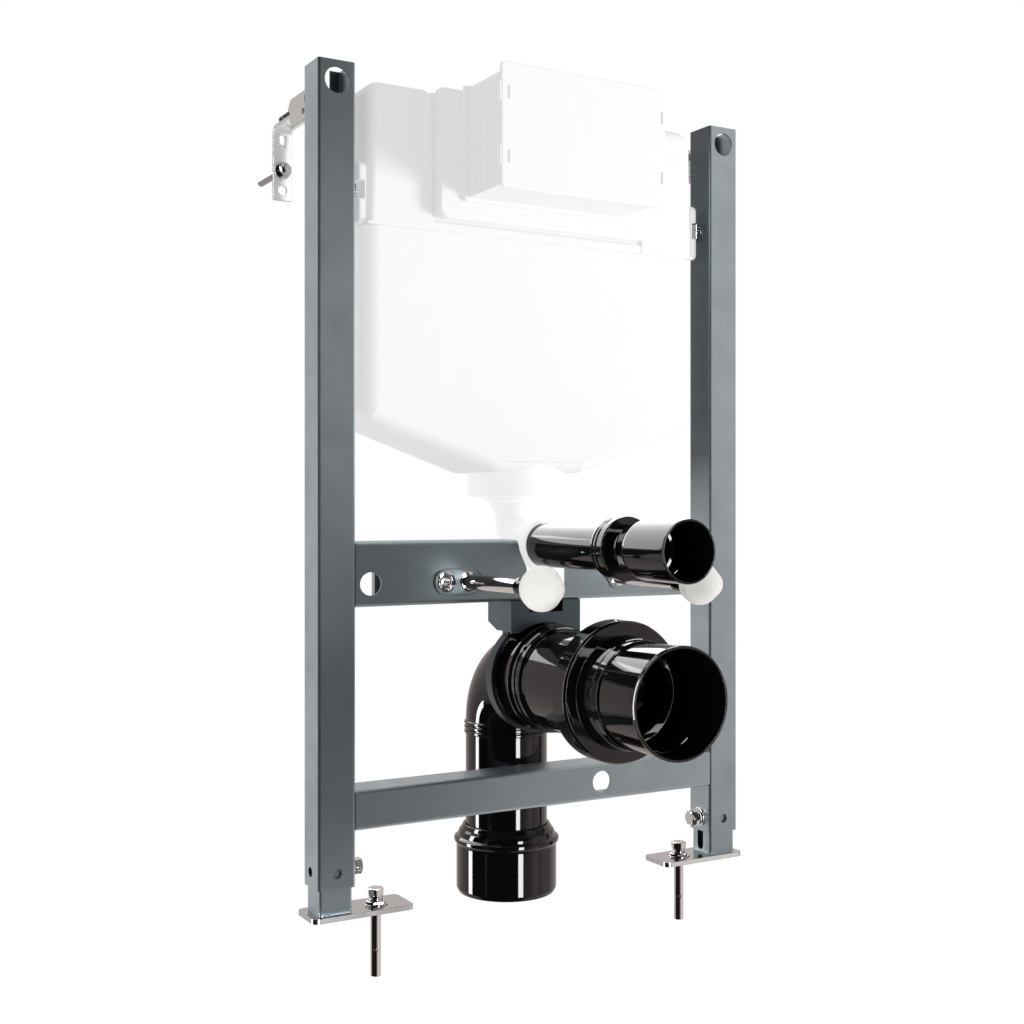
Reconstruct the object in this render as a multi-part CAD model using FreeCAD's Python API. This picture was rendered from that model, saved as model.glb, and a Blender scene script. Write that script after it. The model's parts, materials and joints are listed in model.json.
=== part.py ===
import FreeCAD, Part
import math
import os

# Wall hung toilet frame with concealed cistern.
# Lengths in millimetres.  Design axes: X across the frame (0 at mid width),
# Y from the front plane of the posts towards the wall, Z up from the
# underside of the foot plates.  Everything is shifted at the end so that the
# origin lies on the back face of the left wall plate.

V = FreeCAD.Vector

# ---------------------------------------------------------------- dimensions
FRAME_W = 500.0          # over the posts
POST_A = 38.0            # post width (X)
POST_B = 36.5            # post depth (Y)
POST_T = 2.0             # post wall
POST_Z0 = 29.5           # bottom of posts at the lowest setting
POST_Z1 = 812.0          # top of posts
POST_R = 2.5             # outer corner radius
POST_SLOT = 14.0         # slot along the back of each post
TOP_HOLE_R = 12.4
TOP_HOLE_Z = 793.0
LOW_HOLE_R = 4.8
LOW_HOLE_Z = 44.0

LEG_W = 33.0             # telescopic leg, X
LEG_D = 31.5             # telescopic leg, Y
LEG_T = 2.0
LEG_LEN = 300.0
LEG_TRAVEL = 200.0

FOOT_L = 105.0
FOOT_W = 43.0
FOOT_T = 5.0
FOOT_R = 6.0
ANCHOR_X = 183.0
ANCHOR_R = 5.1
ANCHOR_TIP = -65.0

MID_Z0, MID_Z1 = 294.5, 357.0
LOW_Z0, LOW_Z1 = 82.0, 120.5
RAIL_D = 36.5
RAIL_T = 2.0
RAIL_HOLE_R = 11.2

STUD_X = 90.0            # 180 mm pitch, second pair of nuts at 230 mm
STUD_X2 = 115.0
STUD_Z = 316.0
WASTE_Z = 216.0          # 100 mm below the studs
FLUSH_Z = 351.0          # 135 mm above the waste
BEND_Y = 82.0            # axis of the vertical waste pipe
BEND_R = 54.0
PIPE_R = 43.8
WALL_Y = 148.0           # back face of the wall plates
WP_X = 231.0             # centre of the wall plates
WP_W = 19.8
WP_T = 4.0
WP_Z0, WP_Z1 = 707.0, 788.0
WALL_BOLT_Z = 738.0

ORIGIN = V(-WP_X, WALL_Y, 720.0)

parts = {}


# ------------------------------------------------------------------- helpers
def box(x0, x1, y0, y1, z0, z1):
    return Part.makeBox(x1 - x0, y1 - y0, z1 - z0, V(x0, y0, z0))


def rrect_wire(x0, x1, y0, y1, r, z):
    """Rounded rectangle in the XY plane at height z."""
    r = max(r, 0.01)
    k = math.sqrt(0.5)
    e = []
    e.append(Part.makeLine(V(x0 + r, y0, z), V(x1 - r, y0, z)))
    e.append(Part.Arc(V(x1 - r, y0, z), V(x1 - r + r * k, y0 + r - r * k, z), V(x1, y0 + r, z)).toShape())
    e.append(Part.makeLine(V(x1, y0 + r, z), V(x1, y1 - r, z)))
    e.append(Part.Arc(V(x1, y1 - r, z), V(x1 - r + r * k, y1 - r + r * k, z), V(x1 - r, y1, z)).toShape())
    e.append(Part.makeLine(V(x1 - r, y1, z), V(x0 + r, y1, z)))
    e.append(Part.Arc(V(x0 + r, y1, z), V(x0 + r - r * k, y1 - r + r * k, z), V(x0, y1 - r, z)).toShape())
    e.append(Part.makeLine(V(x0, y1 - r, z), V(x0, y0 + r, z)))
    e.append(Part.Arc(V(x0, y0 + r, z), V(x0 + r - r * k, y0 + r - r * k, z), V(x0 + r, y0, z)).toShape())
    return Part.Wire(e)


def rbox_z(x0, x1, y0, y1, z0, z1, r):
    return Part.Face(rrect_wire(x0, x1, y0, y1, r, z0)).extrude(V(0, 0, z1 - z0))


def rbox_y(x0, x1, y0, y1, z0, z1, r):
    """Rounded edges run along Y."""
    s = rbox_z(x0, x1, -z1, -z0, 0, y1 - y0, r)
    s.rotate(V(0, 0, 0), V(1, 0, 0), -90)
    s.translate(V(0, y0, 0))
    return s


def rbox_x(x0, x1, y0, y1, z0, z1, r):
    """Rounded edges run along X."""
    s = rbox_z(z0, z1, y0, y1, 0, x1 - x0, r)
    s.rotate(V(0, 0, 0), V(0, 1, 0), 90)
    # (z, y, 0..) -> X = along, Z = -z : mirror back about Z = 0
    s = s.mirror(V(0, 0, 0), V(0, 0, 1))
    s.translate(V(x0, 0, 0))
    return s


def cyl(p, d, r, h):
    return Part.makeCylinder(r, h, V(*p), V(*d))


def rev_y(pts, zc, xc=0.0, cut=None):
    """Revolve a closed (r, y) outline about the axis parallel to Y through xc, zc."""
    w = Part.makePolygon([V(r, y, 0) for r, y in pts] + [V(pts[0][0], pts[0][1], 0)])
    s = Part.Face(w).revolve(V(0, 0, 0), V(0, 1, 0), 360)
    s.translate(V(xc, 0, zc))
    return s


def rev_z(pts, xc, yc):
    """Revolve a closed (r, z) outline about the vertical axis through xc, yc."""
    w = Part.makePolygon([V(r, 0, z) for r, z in pts] + [V(pts[0][0], 0, pts[0][1])])
    s = Part.Face(w).revolve(V(0, 0, 0), V(0, 0, 1), 360)
    s.translate(V(xc, yc, 0))
    return s


def poly_prism(pts, axis, a0, a1):
    """Closed polygon of (u, v) extruded along an axis: x -> (y, z), y -> (x, z), z -> (x, y)."""
    if axis == "x":
        q = [V(a0, u, v) for u, v in pts]
        d = V(a1 - a0, 0, 0)
    elif axis == "y":
        q = [V(u, a0, v) for u, v in pts]
        d = V(0, a1 - a0, 0)
    else:
        q = [V(u, v, a0) for u, v in pts]
        d = V(0, 0, a1 - a0)
    return Part.Face(Part.makePolygon(q + [q[0]])).extrude(d)


def hexagon(cx, cy, af, a0=0.0):
    r = af / math.sqrt(3.0)
    return [(cx + r * math.cos(math.radians(60 * i + a0)), cy + r * math.sin(math.radians(60 * i + a0)))
            for i in range(6)]


def mirror_x(s):
    return s.mirror(V(0, 0, 0), V(1, 0, 0))


def add(name, s):
    if s.ShapeType == "Compound" and len(s.Solids) == 1:
        s = s.Solids[0]
    parts[name] = s


def both(name, s):
    """The left piece as given and its mirror image on the right."""
    add("left_" + name, s)
    add("right_" + name, mirror_x(s))


def fuse(*ss):
    s = ss[0]
    for o in ss[1:]:
        s = s.fuse(o)
    return s.removeSplitter()


HW = FRAME_W / 2.0
PX0, PX1 = -HW, -HW + POST_A          # left post
PXC = (PX0 + PX1) / 2.0

# --------------------------------------------------------------------- posts
post = rbox_z(PX0, PX1, 0, POST_B, POST_Z0, POST_Z1, POST_R)
post = post.cut(rbox_z(PX0 + POST_T, PX1 - POST_T, POST_T, POST_B - POST_T, POST_Z0 - 1, POST_Z1 + 1, 1.0))
post = post.cut(box(PXC - POST_SLOT / 2, PXC + POST_SLOT / 2, POST_B - POST_T - 1, POST_B + 1, POST_Z0 - 1, POST_Z1 + 1))
post = post.cut(cyl((PXC, -1, TOP_HOLE_Z), (0, 1, 0), TOP_HOLE_R, 6))
post = post.cut(cyl((PXC, -1, LOW_HOLE_Z), (0, 1, 0), LOW_HOLE_R, 6))
post = post.cut(cyl((PX0 - 1, 20.0, LOW_HOLE_Z), (1, 0, 0), LOW_HOLE_R, 6))
post = post.cut(cyl((PX1 - 4, 20.0, LOW_HOLE_Z), (1, 0, 0), 4.3, 6))
both("post", post)

# ------------------------------------------------------ telescopic legs, feet
LX0, LX1 = PXC - LEG_W / 2, PXC + LEG_W / 2
LY0 = (POST_B - LEG_D) / 2
LY1 = LY0 + LEG_D
leg = rbox_z(LX0, LX1, LY0, LY1, FOOT_T, FOOT_T + LEG_LEN, 2.0)
leg = leg.cut(rbox_z(LX0 + LEG_T, LX1 - LEG_T, LY0 + LEG_T, LY1 - LEG_T, FOOT_T - 1, FOOT_T + LEG_LEN + 1, 1.0))
# slot for the lock bolt, open over the whole travel, on the inner side
leg = leg.cut(rbox_x(LX1 - LEG_T - 1, LX1 + 1, 20.0 - 4.9, 20.0 + 4.9, FOOT_T + 3.0,
                     LOW_HOLE_Z + LEG_TRAVEL + 8.0, 4.8))
both("leg", leg)

FX0, FX1 = -HW - 6.0, -HW - 6.0 + FOOT_L
FY0 = POST_B / 2 - FOOT_W / 2
FY1 = FY0 + FOOT_W
foot = rbox_z(FX0, FX1, FY0, FY1, 0, FOOT_T, FOOT_R)
foot = foot.cut(cyl((-ANCHOR_X, POST_B / 2, -1), (0, 0, 1), 5.4, FOOT_T + 2))
both("foot_plate", foot)

AY = POST_B / 2
# expansion sleeve below the plate, thinner stud through the plate and nut
anchor = cyl((-ANCHOR_X, AY, ANCHOR_TIP + 2.5), (0, 0, 1), ANCHOR_R, -0.4 - ANCHOR_TIP - 2.5)
tip = Part.makeCone(ANCHOR_R - 1.6, ANCHOR_R, 2.5, V(-ANCHOR_X, AY, ANCHOR_TIP), V(0, 0, 1))
shank = cyl((-ANCHOR_X, AY, -0.4), (0, 0, 1), 4.2, 20.9)
head = poly_prism(hexagon(-ANCHOR_X, AY, 14.0, 30), "z", 13.5, 20.5)
anchor = fuse(anchor, tip, shank, head)
both("floor_anchor", anchor)
washer = cyl((-ANCHOR_X, AY, FOOT_T), (0, 0, 1), 12.0, 2.2).cut(cyl((-ANCHOR_X, AY, FOOT_T - 1), (0, 0, 1), 4.5, 5))
nut = poly_prism(hexagon(-ANCHOR_X, AY, 17.0, 10), "z", FOOT_T + 2.2, FOOT_T + 7.0)
nut = nut.cut(cyl((-ANCHOR_X, AY, FOOT_T + 1), (0, 0, 1), 4.5, 8))
both("anchor_nut", washer.fuse(nut).removeSplitter())

# lock bolt through the post's inner side and the leg's slot
lb = cyl((PX1 - 9.0, 20.0, LOW_HOLE_Z), (1, 0, 0), 4.0, 9.0 + 2.0)
lbh = poly_prism(hexagon(20.0, LOW_HOLE_Z, 13.0, 14), "x", PX1 + 1.8, PX1 + 7.5)
lbh = lbh.fuse(poly_prism(hexagon(20.0, LOW_HOLE_Z, 14.4, 2), "x", PX1 + 7.5, PX1 + 13.4))
lbw = cyl((PX1, 20.0, LOW_HOLE_Z), (1, 0, 0), 11.0, 1.8)
lbn = box(PX1 - 10.6, PX1 - 4.8, 20.0 - 7, 20.0 + 7, LOW_HOLE_Z - 7, LOW_HOLE_Z + 7)
both("leg_lock_bolt", fuse(lb, lbh, lbw, lbn))

# --------------------------------------------------------------------- rails
RX = HW - POST_A


def channel(z0, z1):
    s = rbox_x(-RX, RX, 0, RAIL_D + 6, z0, z1, 4.0)
    s = s.cut(rbox_x(-RX - 1, RX + 1, RAIL_T, RAIL_D + 12, z0 + RAIL_T, z1 - RAIL_T, 2.0))
    return s.cut(box(-RX - 1, RX + 1, RAIL_D, RAIL_D + 20, z0 - 1, z1 + 1))


mid = channel(MID_Z0, MID_Z1)
# pressed seats for the stud nuts
for sx in (-1, 1):
    xa, xb = sorted((sx * 72.5, sx * 132.5))
    mid = mid.fuse(rbox_y(xa, xb, RAIL_T - 0.01, RAIL_T + 1.2, STUD_Z - 13.3, STUD_Z + 14.2, 13.5))
    mid = mid.cut(rbox_y(xa + 1.5, xb - 1.5, -1, 1.2, STUD_Z - 11.8, STUD_Z + 12.7, 12.0))
# notch for the flush pipe
notch = [(-23.2, 303.0), (22.9, 303.0), (22.9, 358.0 + 4), (-35.0, 358.0 + 4), (-34.0, MID_Z1), (-31.5, 346.0),
         (-26.0, 334.0), (-23.2, 328.0)]
mid = mid.cut(poly_prism(notch, "y", -1, RAIL_D + 5))
mid = mid.cut(box(-35.0, 28.0, RAIL_T, RAIL_D + 5, MID_Z1 - 8.0, MID_Z1 + 5))
for x in (-196.3, 196.3):
    mid = mid.cut(cyl((x, -1, 316.6), (0, 1, 0), RAIL_HOLE_R, 5))
# upright webs inside the rail, seen through its end holes
for sx in (-1, 1):
    xa, xb = sorted((sx * 186.0, sx * 179.0))
    mid = mid.fuse(box(xa, xb, 14.0, 21.0, MID_Z0 + RAIL_T - 0.5, MID_Z1 - RAIL_T + 0.5))
for x in (-STUD_X, STUD_X, -STUD_X2, STUD_X2):
    mid = mid.cut(cyl((x, -1, STUD_Z), (0, 1, 0), 8.0, 8))
add("middle_rail", mid)

low = channel(LOW_Z0, LOW_Z1)
low = low.cut(cyl((68.7, -1, 101.2), (0, 1, 0), RAIL_HOLE_R, 5))
add("lower_rail", low)

# ------------------------------------------------------- stud nuts and studs
nuts = []
for x in (-STUD_X2, -STUD_X, STUD_X, STUD_X2):
    n = rev_y([(6.0, 0.0), (9.6, 0.0), (10.4, 0.6), (10.4, 1.2), (8.0, 1.2), (8.0, 20.0), (6.0, 20.0)], STUD_Z, x)
    nuts.append(n)
add("stud_nuts", Part.makeCompound(nuts))

stud = fuse(cyl((-STUD_X, -128.0, STUD_Z), (0, 1, 0), 6.0, 128.0 + 26.0),
            cyl((-STUD_X, -103.6, STUD_Z), (0, 1, 0), 7.3, 103.1))
both("wc_stud", stud)
grom = rev_y([(6.0, -121.0), (9.3, -121.0), (9.6, -106.5), (8.6, -102.1), (7.3, -101.6), (7.3, -103.6), (6.0, -103.6)],
             STUD_Z, -STUD_X)
both("stud_sleeve", grom)
cap_pts = [(6.0, -122.4), (12.6, -122.4), (16.2, -126.0), (19.2, -130.6), (20.9, -136.0), (20.9, -142.4), (19.2, -147.0), (10.6, -161.4), (6.6, -165.8), (0.0, -167.2),
           (0.0, -128.0), (6.0, -128.0)]
cap = rev_y(cap_pts, STUD_Z, -STUD_X)
both("stud_cap", cap)

# ------------------------------------------------------------ waste assembly
BX = 41.5
wb = box(-BX, BX, 0, 2.5, 262.0, MID_Z0)
for sx in (-1, 1):
    xa, xb = sorted((sx * BX, sx * (BX - 2.5)))
    wb = wb.fuse(poly_prism([(0, 263.4), (29.5, 263.4), (48.0, 271.5), (48.0, MID_Z0), (0, MID_Z0)], "x", xa, xb))
wb = wb.fuse(box(-BX, BX, 0, 48.0, MID_Z0 - 2.5, MID_Z0))
wb = wb.fuse(box(-BX, BX, 45.5, 48.0, 271.5, MID_Z0))
wb = wb.cut(box(-20.0, 20.5, -1, 30.0, 282.5, MID_Z0 + 1))
wb = wb.cut(cyl((0, -1, WASTE_Z), (0, 1, 0), 55.6, 60))
add("waste_bracket", wb.removeSplitter())

ring = cyl((0, 10.5, WASTE_Z), (0, 1, 0), 58.6, 11.5).cut(cyl((0, 2.0, WASTE_Z), (0, 1, 0), 55.6, 22))
# lugs inside the bracket's cheeks
for sx in (-1, 1):
    xa, xb = sorted((sx * 34.0, sx * (BX - 2.5)))
    lug = box(xa, xb, 10.5, 22.0, 250.0, 276.0).cut(cyl((0, 2.0, WASTE_Z), (0, 1, 0), 55.6, 24))
    ring = ring.fuse(lug)
add("waste_clamp_ring", ring.removeSplitter())


def ring_tube(axis_pt, axis, ro, ri, h):
    return cyl(axis_pt, axis, ro, h).cut(cyl(axis_pt, axis, ri, h))


def ring_elbow(ro, ri, yc, zc, br):
    """Quarter bend of a tube: enters along Y at (yc, zc), leaves along Z at y = yc + br.
    br > 0 turns down, the flush elbow is made upside down and mirrored."""
    c = V(0, yc, zc)
    ca = Part.Face(Part.Wire(Part.Circle(c, V(0, 1, 0), ro).toShape()))
    cb = Part.Face(Part.Wire(Part.Circle(c, V(0, 1, 0), ri).toShape()))
    face = ca.cut(cb).Faces[0]
    return face.revolve(V(0, yc, zc - br), V(1, 0, 0), -90)


# socket of the bend, held in the clamp ring, then the quarter bend and the drop
yb = BEND_Y - BEND_R
head_pts = [(55.4, 9.0), (55.4, 18.5), (50.0, yb - 0.8), (PIPE_R, yb), (PIPE_R - 3.0, yb), (PIPE_R - 3.0, 14.0),
            (51.0, 14.0), (51.0, 9.0)]
bend = rev_y(head_pts, WASTE_Z)
bend = bend.fuse(ring_elbow(PIPE_R, PIPE_R - 3.0, yb, WASTE_Z, BEND_R))
zt = WASTE_Z - BEND_R
ri = PIPE_R - 3.0
drop = [(ri, zt), (PIPE_R, zt)]
for z in (159.6, 154.6, 149.6):
    drop += [(PIPE_R, z + 1.9), (PIPE_R + 1.4, z + 1.3), (PIPE_R + 1.8, z), (PIPE_R + 1.4, z - 1.3), (PIPE_R, z - 1.9)]
drop += [(PIPE_R, 22.5), (ri, 22.5)]
bend = bend.fuse(rev_z(drop, 0, BEND_Y))
add("waste_bend", bend.removeSplitter())

coup = rev_z([(PIPE_R + 0.3, 50.5), (46.6, 51.0), (47.2, 50.0), (48.5, 47.0), (51.0, 44.0), (52.0, 41.6), (52.6, 38.5),
              (55.2, 37.2), (56.3, 35.2), (55.8, 32.2), (53.8, 30.0), (53.8, -17.5), (52.6, -20.8), (50.4, -22.0), (50.2, -20.6),
              (50.2, 20.0), (PIPE_R + 0.3, 22.0)], 0, BEND_Y)
add("waste_coupling", coup)

sock = rev_y([(50.6, 12.0), (50.6, -13.0), (54.4, -13.0), (55.2, -14.2), (55.2, -16.6), (53.8, -18.0), (52.2, -19.0), (52.2, -21.0),
              (53.4, -22.0), (53.6, -24.0), (52.6, -27.0), (52.0, -30.0), (52.8, -31.2), (53.0, -33.0), (52.2, -35.0), (49.8, -36.2),
              (49.8, -45.0), (50.6, -46.4), (50.5, -116.0), (46.5, -116.0), (46.5, 12.0)], WASTE_Z)
add("pan_connector_body", sock)
# flange with a flat front, and the cone that grips the sleeve
seal = rev_y([(46.8, -116.4), (50.5, -116.4), (65.6, -117.0), (67.0, -118.2), (67.4, -120.0), (67.4, -138.2), (66.8, -140.2),
              (65.2, -141.2), (56.2, -141.2), (54.4, -144.0), (52.9, -149.0), (52.0, -156.0), (51.6, -165.0), (50.9, -168.4), (49.8, -170.6),
              (49.8, -150.0), (46.8, -150.0)], WASTE_Z)
add("pan_connector_seal", seal)
sleeve = rev_y([(41.6, -150.4), (49.4, -150.4), (49.4, -170.0), (51.2, -225.0), (51.8, -227.6), (51.6, -229.0), (51.0, -229.4),
                (49.2, -229.4), (48.8, -228.0), (48.8, -178.0), (45.6, -175.0), (45.6, -153.0), (41.6, -152.0)], WASTE_Z)
add("pan_connector_sleeve", sleeve)

# ------------------------------------------------------------ flush assembly
EL_Y = 60.6
EB = 30.0
el = ring_elbow(22.6, 19.6, 0.0, 0.0, EB)          # drawn turning down, turned over below
el = el.mirror(V(0, 0, 0), V(0, 0, 1))
el.translate(V(0, EL_Y - EB, FLUSH_Z))
el = el.fuse(rev_z([(19.6, FLUSH_Z + EB), (22.6, FLUSH_Z + EB), (25.5, FLUSH_Z + EB + 4.0), (29.3, 397.0), (34.0, 398.2), (19.6, 398.2)], 0, EL_Y))
el = el.fuse(rev_y([(19.6, EL_Y - EB), (22.6, EL_Y - EB), (24.0, 15.0), (26.4, 14.4), (26.4, 3.0), (25.6, 2.0), (22.7, 2.0), (22.7, 20.0),
                    (19.6, 20.0)], FLUSH_Z))
add("flush_elbow", el.removeSplitter())

fp = ring_tube((0, -150.0, FLUSH_Z), (0, 1, 0), 22.5, 20.0, 150.0 + 19.6)
add("flush_pipe", fp)
fc = rev_y([(22.6, -126.0), (29.4, -126.0), (29.9, -127.0), (29.9, -129.2), (28.6, -129.7), (28.6, -131.6), (30.0, -132.1), (30.0, -135.2), (28.7, -135.7),
            (28.7, -137.6), (30.2, -138.1), (30.4, -140.0), (30.4, -145.6), (29.4, -146.7), (22.6, -146.7)], FLUSH_Z)
add("flush_seal", fc)
fs = rev_y([(22.8, -147.1), (23.6, -147.1), (23.8, -157.0), (24.8, -163.0), (26.8, -174.0), (27.9, -179.5), (28.2, -184.0), (28.4, -200.0), (28.9, -239.2),
            (28.7, -240.4), (28.0, -240.6), (26.4, -239.4), (26.4, -186.0), (22.8, -182.0)], FLUSH_Z)
add("flush_socket", fs)

# ------------------------------------------------------------------- cistern
TX = 198.0               # half width of the tank
TY0, TY1 = 8.5, 112.7    # front and back faces
SEAM = 663.0
TANK_T = 3.5
OUT_R = 52.0             # valve housing under the tank


def tank_body(g, top):
    """Tank outline shrunk by g: upright sides, sloping underside, rounded edges."""
    x1 = TX - g
    zf = 426.0 + g
    zs = 477.5 + g
    x2 = 52.0 - g * 0.2
    pts = [(-x1, top), (-x1, zs), (-x2, zf), (x2, zf), (x1, zs), (x1, top)]
    b = poly_prism(pts, "y", TY0 + g, TY1 - g)
    es = [e for e in b.Edges if abs(abs(e.CenterOfMass.x) - x1) < 0.01 and abs(e.CenterOfMass.z - zs) < 0.01]
    b = b.makeFillet(15.0 - g, es)
    fe = []
    for e in b.Edges:
        bb = e.BoundBox
        flat_f = abs(bb.YMin - (TY0 + g)) < 1e-3 and abs(bb.YMax - (TY0 + g)) < 1e-3
        flat_b = abs(bb.YMin - (TY1 - g)) < 1e-3 and abs(bb.YMax - (TY1 - g)) < 1e-3
        if (flat_f or flat_b) and not (abs(bb.ZMin - top) < 1e-3 and abs(bb.ZMax - top) < 1e-3):
            fe.append(e)
    return b.makeFillet(8.0 - g, fe)


tank = tank_body(0.0, SEAM - 0.4)
outer_tank = tank.copy()
hollow = tank_body(TANK_T, SEAM + 1.0)
tank = tank.cut(hollow)
add("cistern_tank", tank)

zb = 400.6
outlet = cyl((0, EL_Y, zb), (0, 0, 1), OUT_R - 0.1, 470.0 - zb)
outlet = outlet.cut(cyl((0, EL_Y, zb + 3.0), (0, 0, 1), OUT_R - 3.1, 480.0 - zb)).cut(outer_tank)
outlet = fuse(outlet, cyl((0, EL_Y, 398.2), (0, 0, 1), 37.5, 2.5))
outlet = outlet.cut(cyl((0, EL_Y, 390.0), (0, 0, 1), 19.6, 30.0))
best = max(outlet.Solids, key=lambda q: q.Volume)
add("cistern_outlet", best)

SX = 196.0               # half width of the upper shell
top_pts = [(-SX, SEAM), (-SX, 787.0), (-SX + 5.0, 799.0), (-SX + 17.0, 804.0), (SX - 17.0, 804.0), (SX - 5.0, 799.0),
           (SX, 787.0), (SX, SEAM)]
shell = poly_prism(top_pts, "y", TY0, TY1)
shell = shell.cut(rbox_y(-SX + TANK_T, SX - TANK_T, TY0 + TANK_T, TY1 - TANK_T, SEAM - 20, 804.0 - TANK_T, 12.0))
for sx in (-1, 1):
    xa, xb = sorted((sx * SX, sx * 203.5))
    sk = box(xa, xb, TY0 + 4.0, TY1 - 4.0, 666.0, 724.0)
    sk = sk.cut(box(min(xa, xb) - 1, max(xa, xb) + 1, 0.0, 34.0, 687.0, 705.5))
    shell = shell.fuse(sk)
add("cistern_shell", shell.removeSplitter())

panel = rbox_y(-124.0, 124.0, -5.0, TY0, 674.5, 802.0, 10.0)
panel = panel.cut(rbox_y(-121.0, 121.0, -2.0, TY0 + 1, 677.5, 799.0, 7.5))
add("access_panel", panel)

AX = 92.0
AC = -3.3                # middle of the access shroud
AZ0, AZ1 = 695.0, 803.5
shroud = box(AC - AX, AC + AX, -77.0, -5.0, AZ0, AZ1)
shroud = shroud.fuse(box(AC - AX - 4.2, AC + AX + 4.2, -9.0, -5.0, AZ0 - 3.0, AZ1 + 2.5))
shroud = shroud.cut(box(AC - AX + 4.0, AC + AX - 4.0, -79.0, -9.0, AZ0 + 4.0, AZ1 - 4.0))
add("access_shroud", shroud)
cover = rbox_y(AC - 95.0, AC + 95.0, -81.0, -77.0, 691.7, 810.6, 4.0)
add("access_cover", cover)

clips = []
for sx in (-1, 1):
    xa, xb = sorted((sx * 198.0, sx * (HW - POST_A)))
    clips.append(box(xa, xb, 14.0, 32.0, 688.0, 704.5).cut(box(min(xa, xb) + 2.0, max(xa, xb) - 2.0, 10.0, 30.0, 690.0, 702.5)))
add("cistern_clips", Part.makeCompound(clips))

# ------------------------------------------------------------- wall brackets
ax0, ax1 = -WP_X - 13.0, -WP_X + 13.0
arm = poly_prism([(POST_B, 761.5), (91.5, 761.5), (94.0, 787.0), (84.0, 795.0), (POST_B, 795.0)], "x", ax0, ax1)
arm = arm.cut(box(ax0 + 2.5, ax1 - 2.5, POST_B + 2.5, 100.0, 750.0, 792.5))
both("bracket_arm", arm)

wx0, wx1 = -WP_X - WP_W / 2, -WP_X + WP_W / 2
ZT = 783.0               # top of the strap
RO = 9.0                 # outer radius of its bend
strap = box(wx0, wx1, WALL_Y - WP_T, WALL_Y, WP_Z0, ZT - RO)
strap = strap.fuse(box(wx0, wx1, 44.0, WALL_Y - RO, ZT - WP_T, ZT))
corner = cyl((wx0, WALL_Y - RO, ZT - RO), (1, 0, 0), RO, wx1 - wx0)
corner = corner.cut(cyl((wx0 - 1, WALL_Y - RO, ZT - RO), (1, 0, 0), RO - WP_T, wx1 - wx0 + 2))
corner = corner.common(box(wx0, wx1, WALL_Y - RO, WALL_Y + 1, ZT - RO, ZT + 1))
strap = strap.fuse(corner).removeSplitter()
strap = strap.cut(rbox_z(-WP_X - 3.6, -WP_X + 3.6, 66.0, 126.0, ZT - 6, ZT + 1, 3.5))
strap = strap.cut(cyl((-WP_X, WALL_Y - 6, WALL_BOLT_Z), (0, 1, 0), 4.2, 9))
strap = strap.cut(cyl((-WP_X, WALL_Y - 6, WALL_BOLT_Z + 30.0), (0, 1, 0), 3.2, 9))
both("wall_plate", strap)

wbolt = fuse(cyl((-WP_X, WALL_Y - 16.0, WALL_BOLT_Z), (0, 1, 0), 3.4, 17.0),
             cyl((-WP_X, WALL_Y + 0.4, WALL_BOLT_Z), (0, 1, 0), 3.9, 62.0),
             Part.makeCone(3.9, 2.6, 1.6, V(-WP_X, WALL_Y + 62.4, WALL_BOLT_Z), V(0, 1, 0)),
             cyl((-WP_X, WALL_Y - WP_T - 1.6, WALL_BOLT_Z), (0, 1, 0), 9.0, 1.6),
             poly_prism(hexagon(-WP_X, WALL_BOLT_Z, 13.0, 0), "y", WALL_Y - WP_T - 8.0, WALL_Y - WP_T - 1.6))
both("wall_bolt", wbolt)
screw = fuse(cyl((-WP_X, 76.0, ZT - WP_T - 6.0), (0, 0, 1), 3.0, WP_T + 6.0 + 3.5),
             poly_prism(hexagon(-WP_X, 76.0, 10.0, 0), "z", ZT - WP_T - 5.0, ZT - WP_T),
             cyl((-WP_X, 76.0, ZT), (0, 0, 1), 5.0, 3.5))
both("bracket_screw", screw)
rod = cyl((-WP_X - 4.5, 95.5, ZT + 3.6), (0, 1, 0), 3.6, 40.0)
both("bracket_rod", rod)

# -------------------------------------------------------------------- export
os.makedirs("parts", exist_ok=True)
for name in sorted(parts):
    s = parts[name].copy()
    s.translate(-ORIGIN)
    s.exportStep("parts/" + name + ".step")
    bb = s.BoundBox
    print("%-22s %-9s solids %d valid %s vol %9.1f  x %7.1f %7.1f y %7.1f %7.1f z %7.1f %7.1f" % (
        name, s.ShapeType, len(s.Solids), s.isValid(), s.Volume,
        bb.XMin, bb.XMax, bb.YMin, bb.YMax, bb.ZMin, bb.ZMax))
print(len(parts), "nodes")
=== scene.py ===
import bpy, bmesh, math, json
from mathutils import Vector, Matrix

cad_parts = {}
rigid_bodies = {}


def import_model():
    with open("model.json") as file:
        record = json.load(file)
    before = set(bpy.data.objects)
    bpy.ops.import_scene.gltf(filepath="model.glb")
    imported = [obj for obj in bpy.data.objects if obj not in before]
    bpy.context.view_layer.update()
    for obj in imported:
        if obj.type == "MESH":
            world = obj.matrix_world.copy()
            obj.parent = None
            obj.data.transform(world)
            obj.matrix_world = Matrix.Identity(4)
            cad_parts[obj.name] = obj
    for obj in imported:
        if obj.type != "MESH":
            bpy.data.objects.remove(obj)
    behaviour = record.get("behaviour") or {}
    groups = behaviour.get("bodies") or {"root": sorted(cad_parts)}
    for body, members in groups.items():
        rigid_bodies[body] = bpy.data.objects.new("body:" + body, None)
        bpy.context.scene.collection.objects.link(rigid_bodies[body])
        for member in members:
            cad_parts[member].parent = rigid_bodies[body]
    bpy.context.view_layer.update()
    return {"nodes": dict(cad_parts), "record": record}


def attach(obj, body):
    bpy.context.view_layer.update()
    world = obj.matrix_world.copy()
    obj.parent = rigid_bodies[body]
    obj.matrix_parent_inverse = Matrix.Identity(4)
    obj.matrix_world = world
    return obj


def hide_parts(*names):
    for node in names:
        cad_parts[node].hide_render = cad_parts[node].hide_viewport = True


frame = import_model()
NODES = frame["nodes"]

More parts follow.
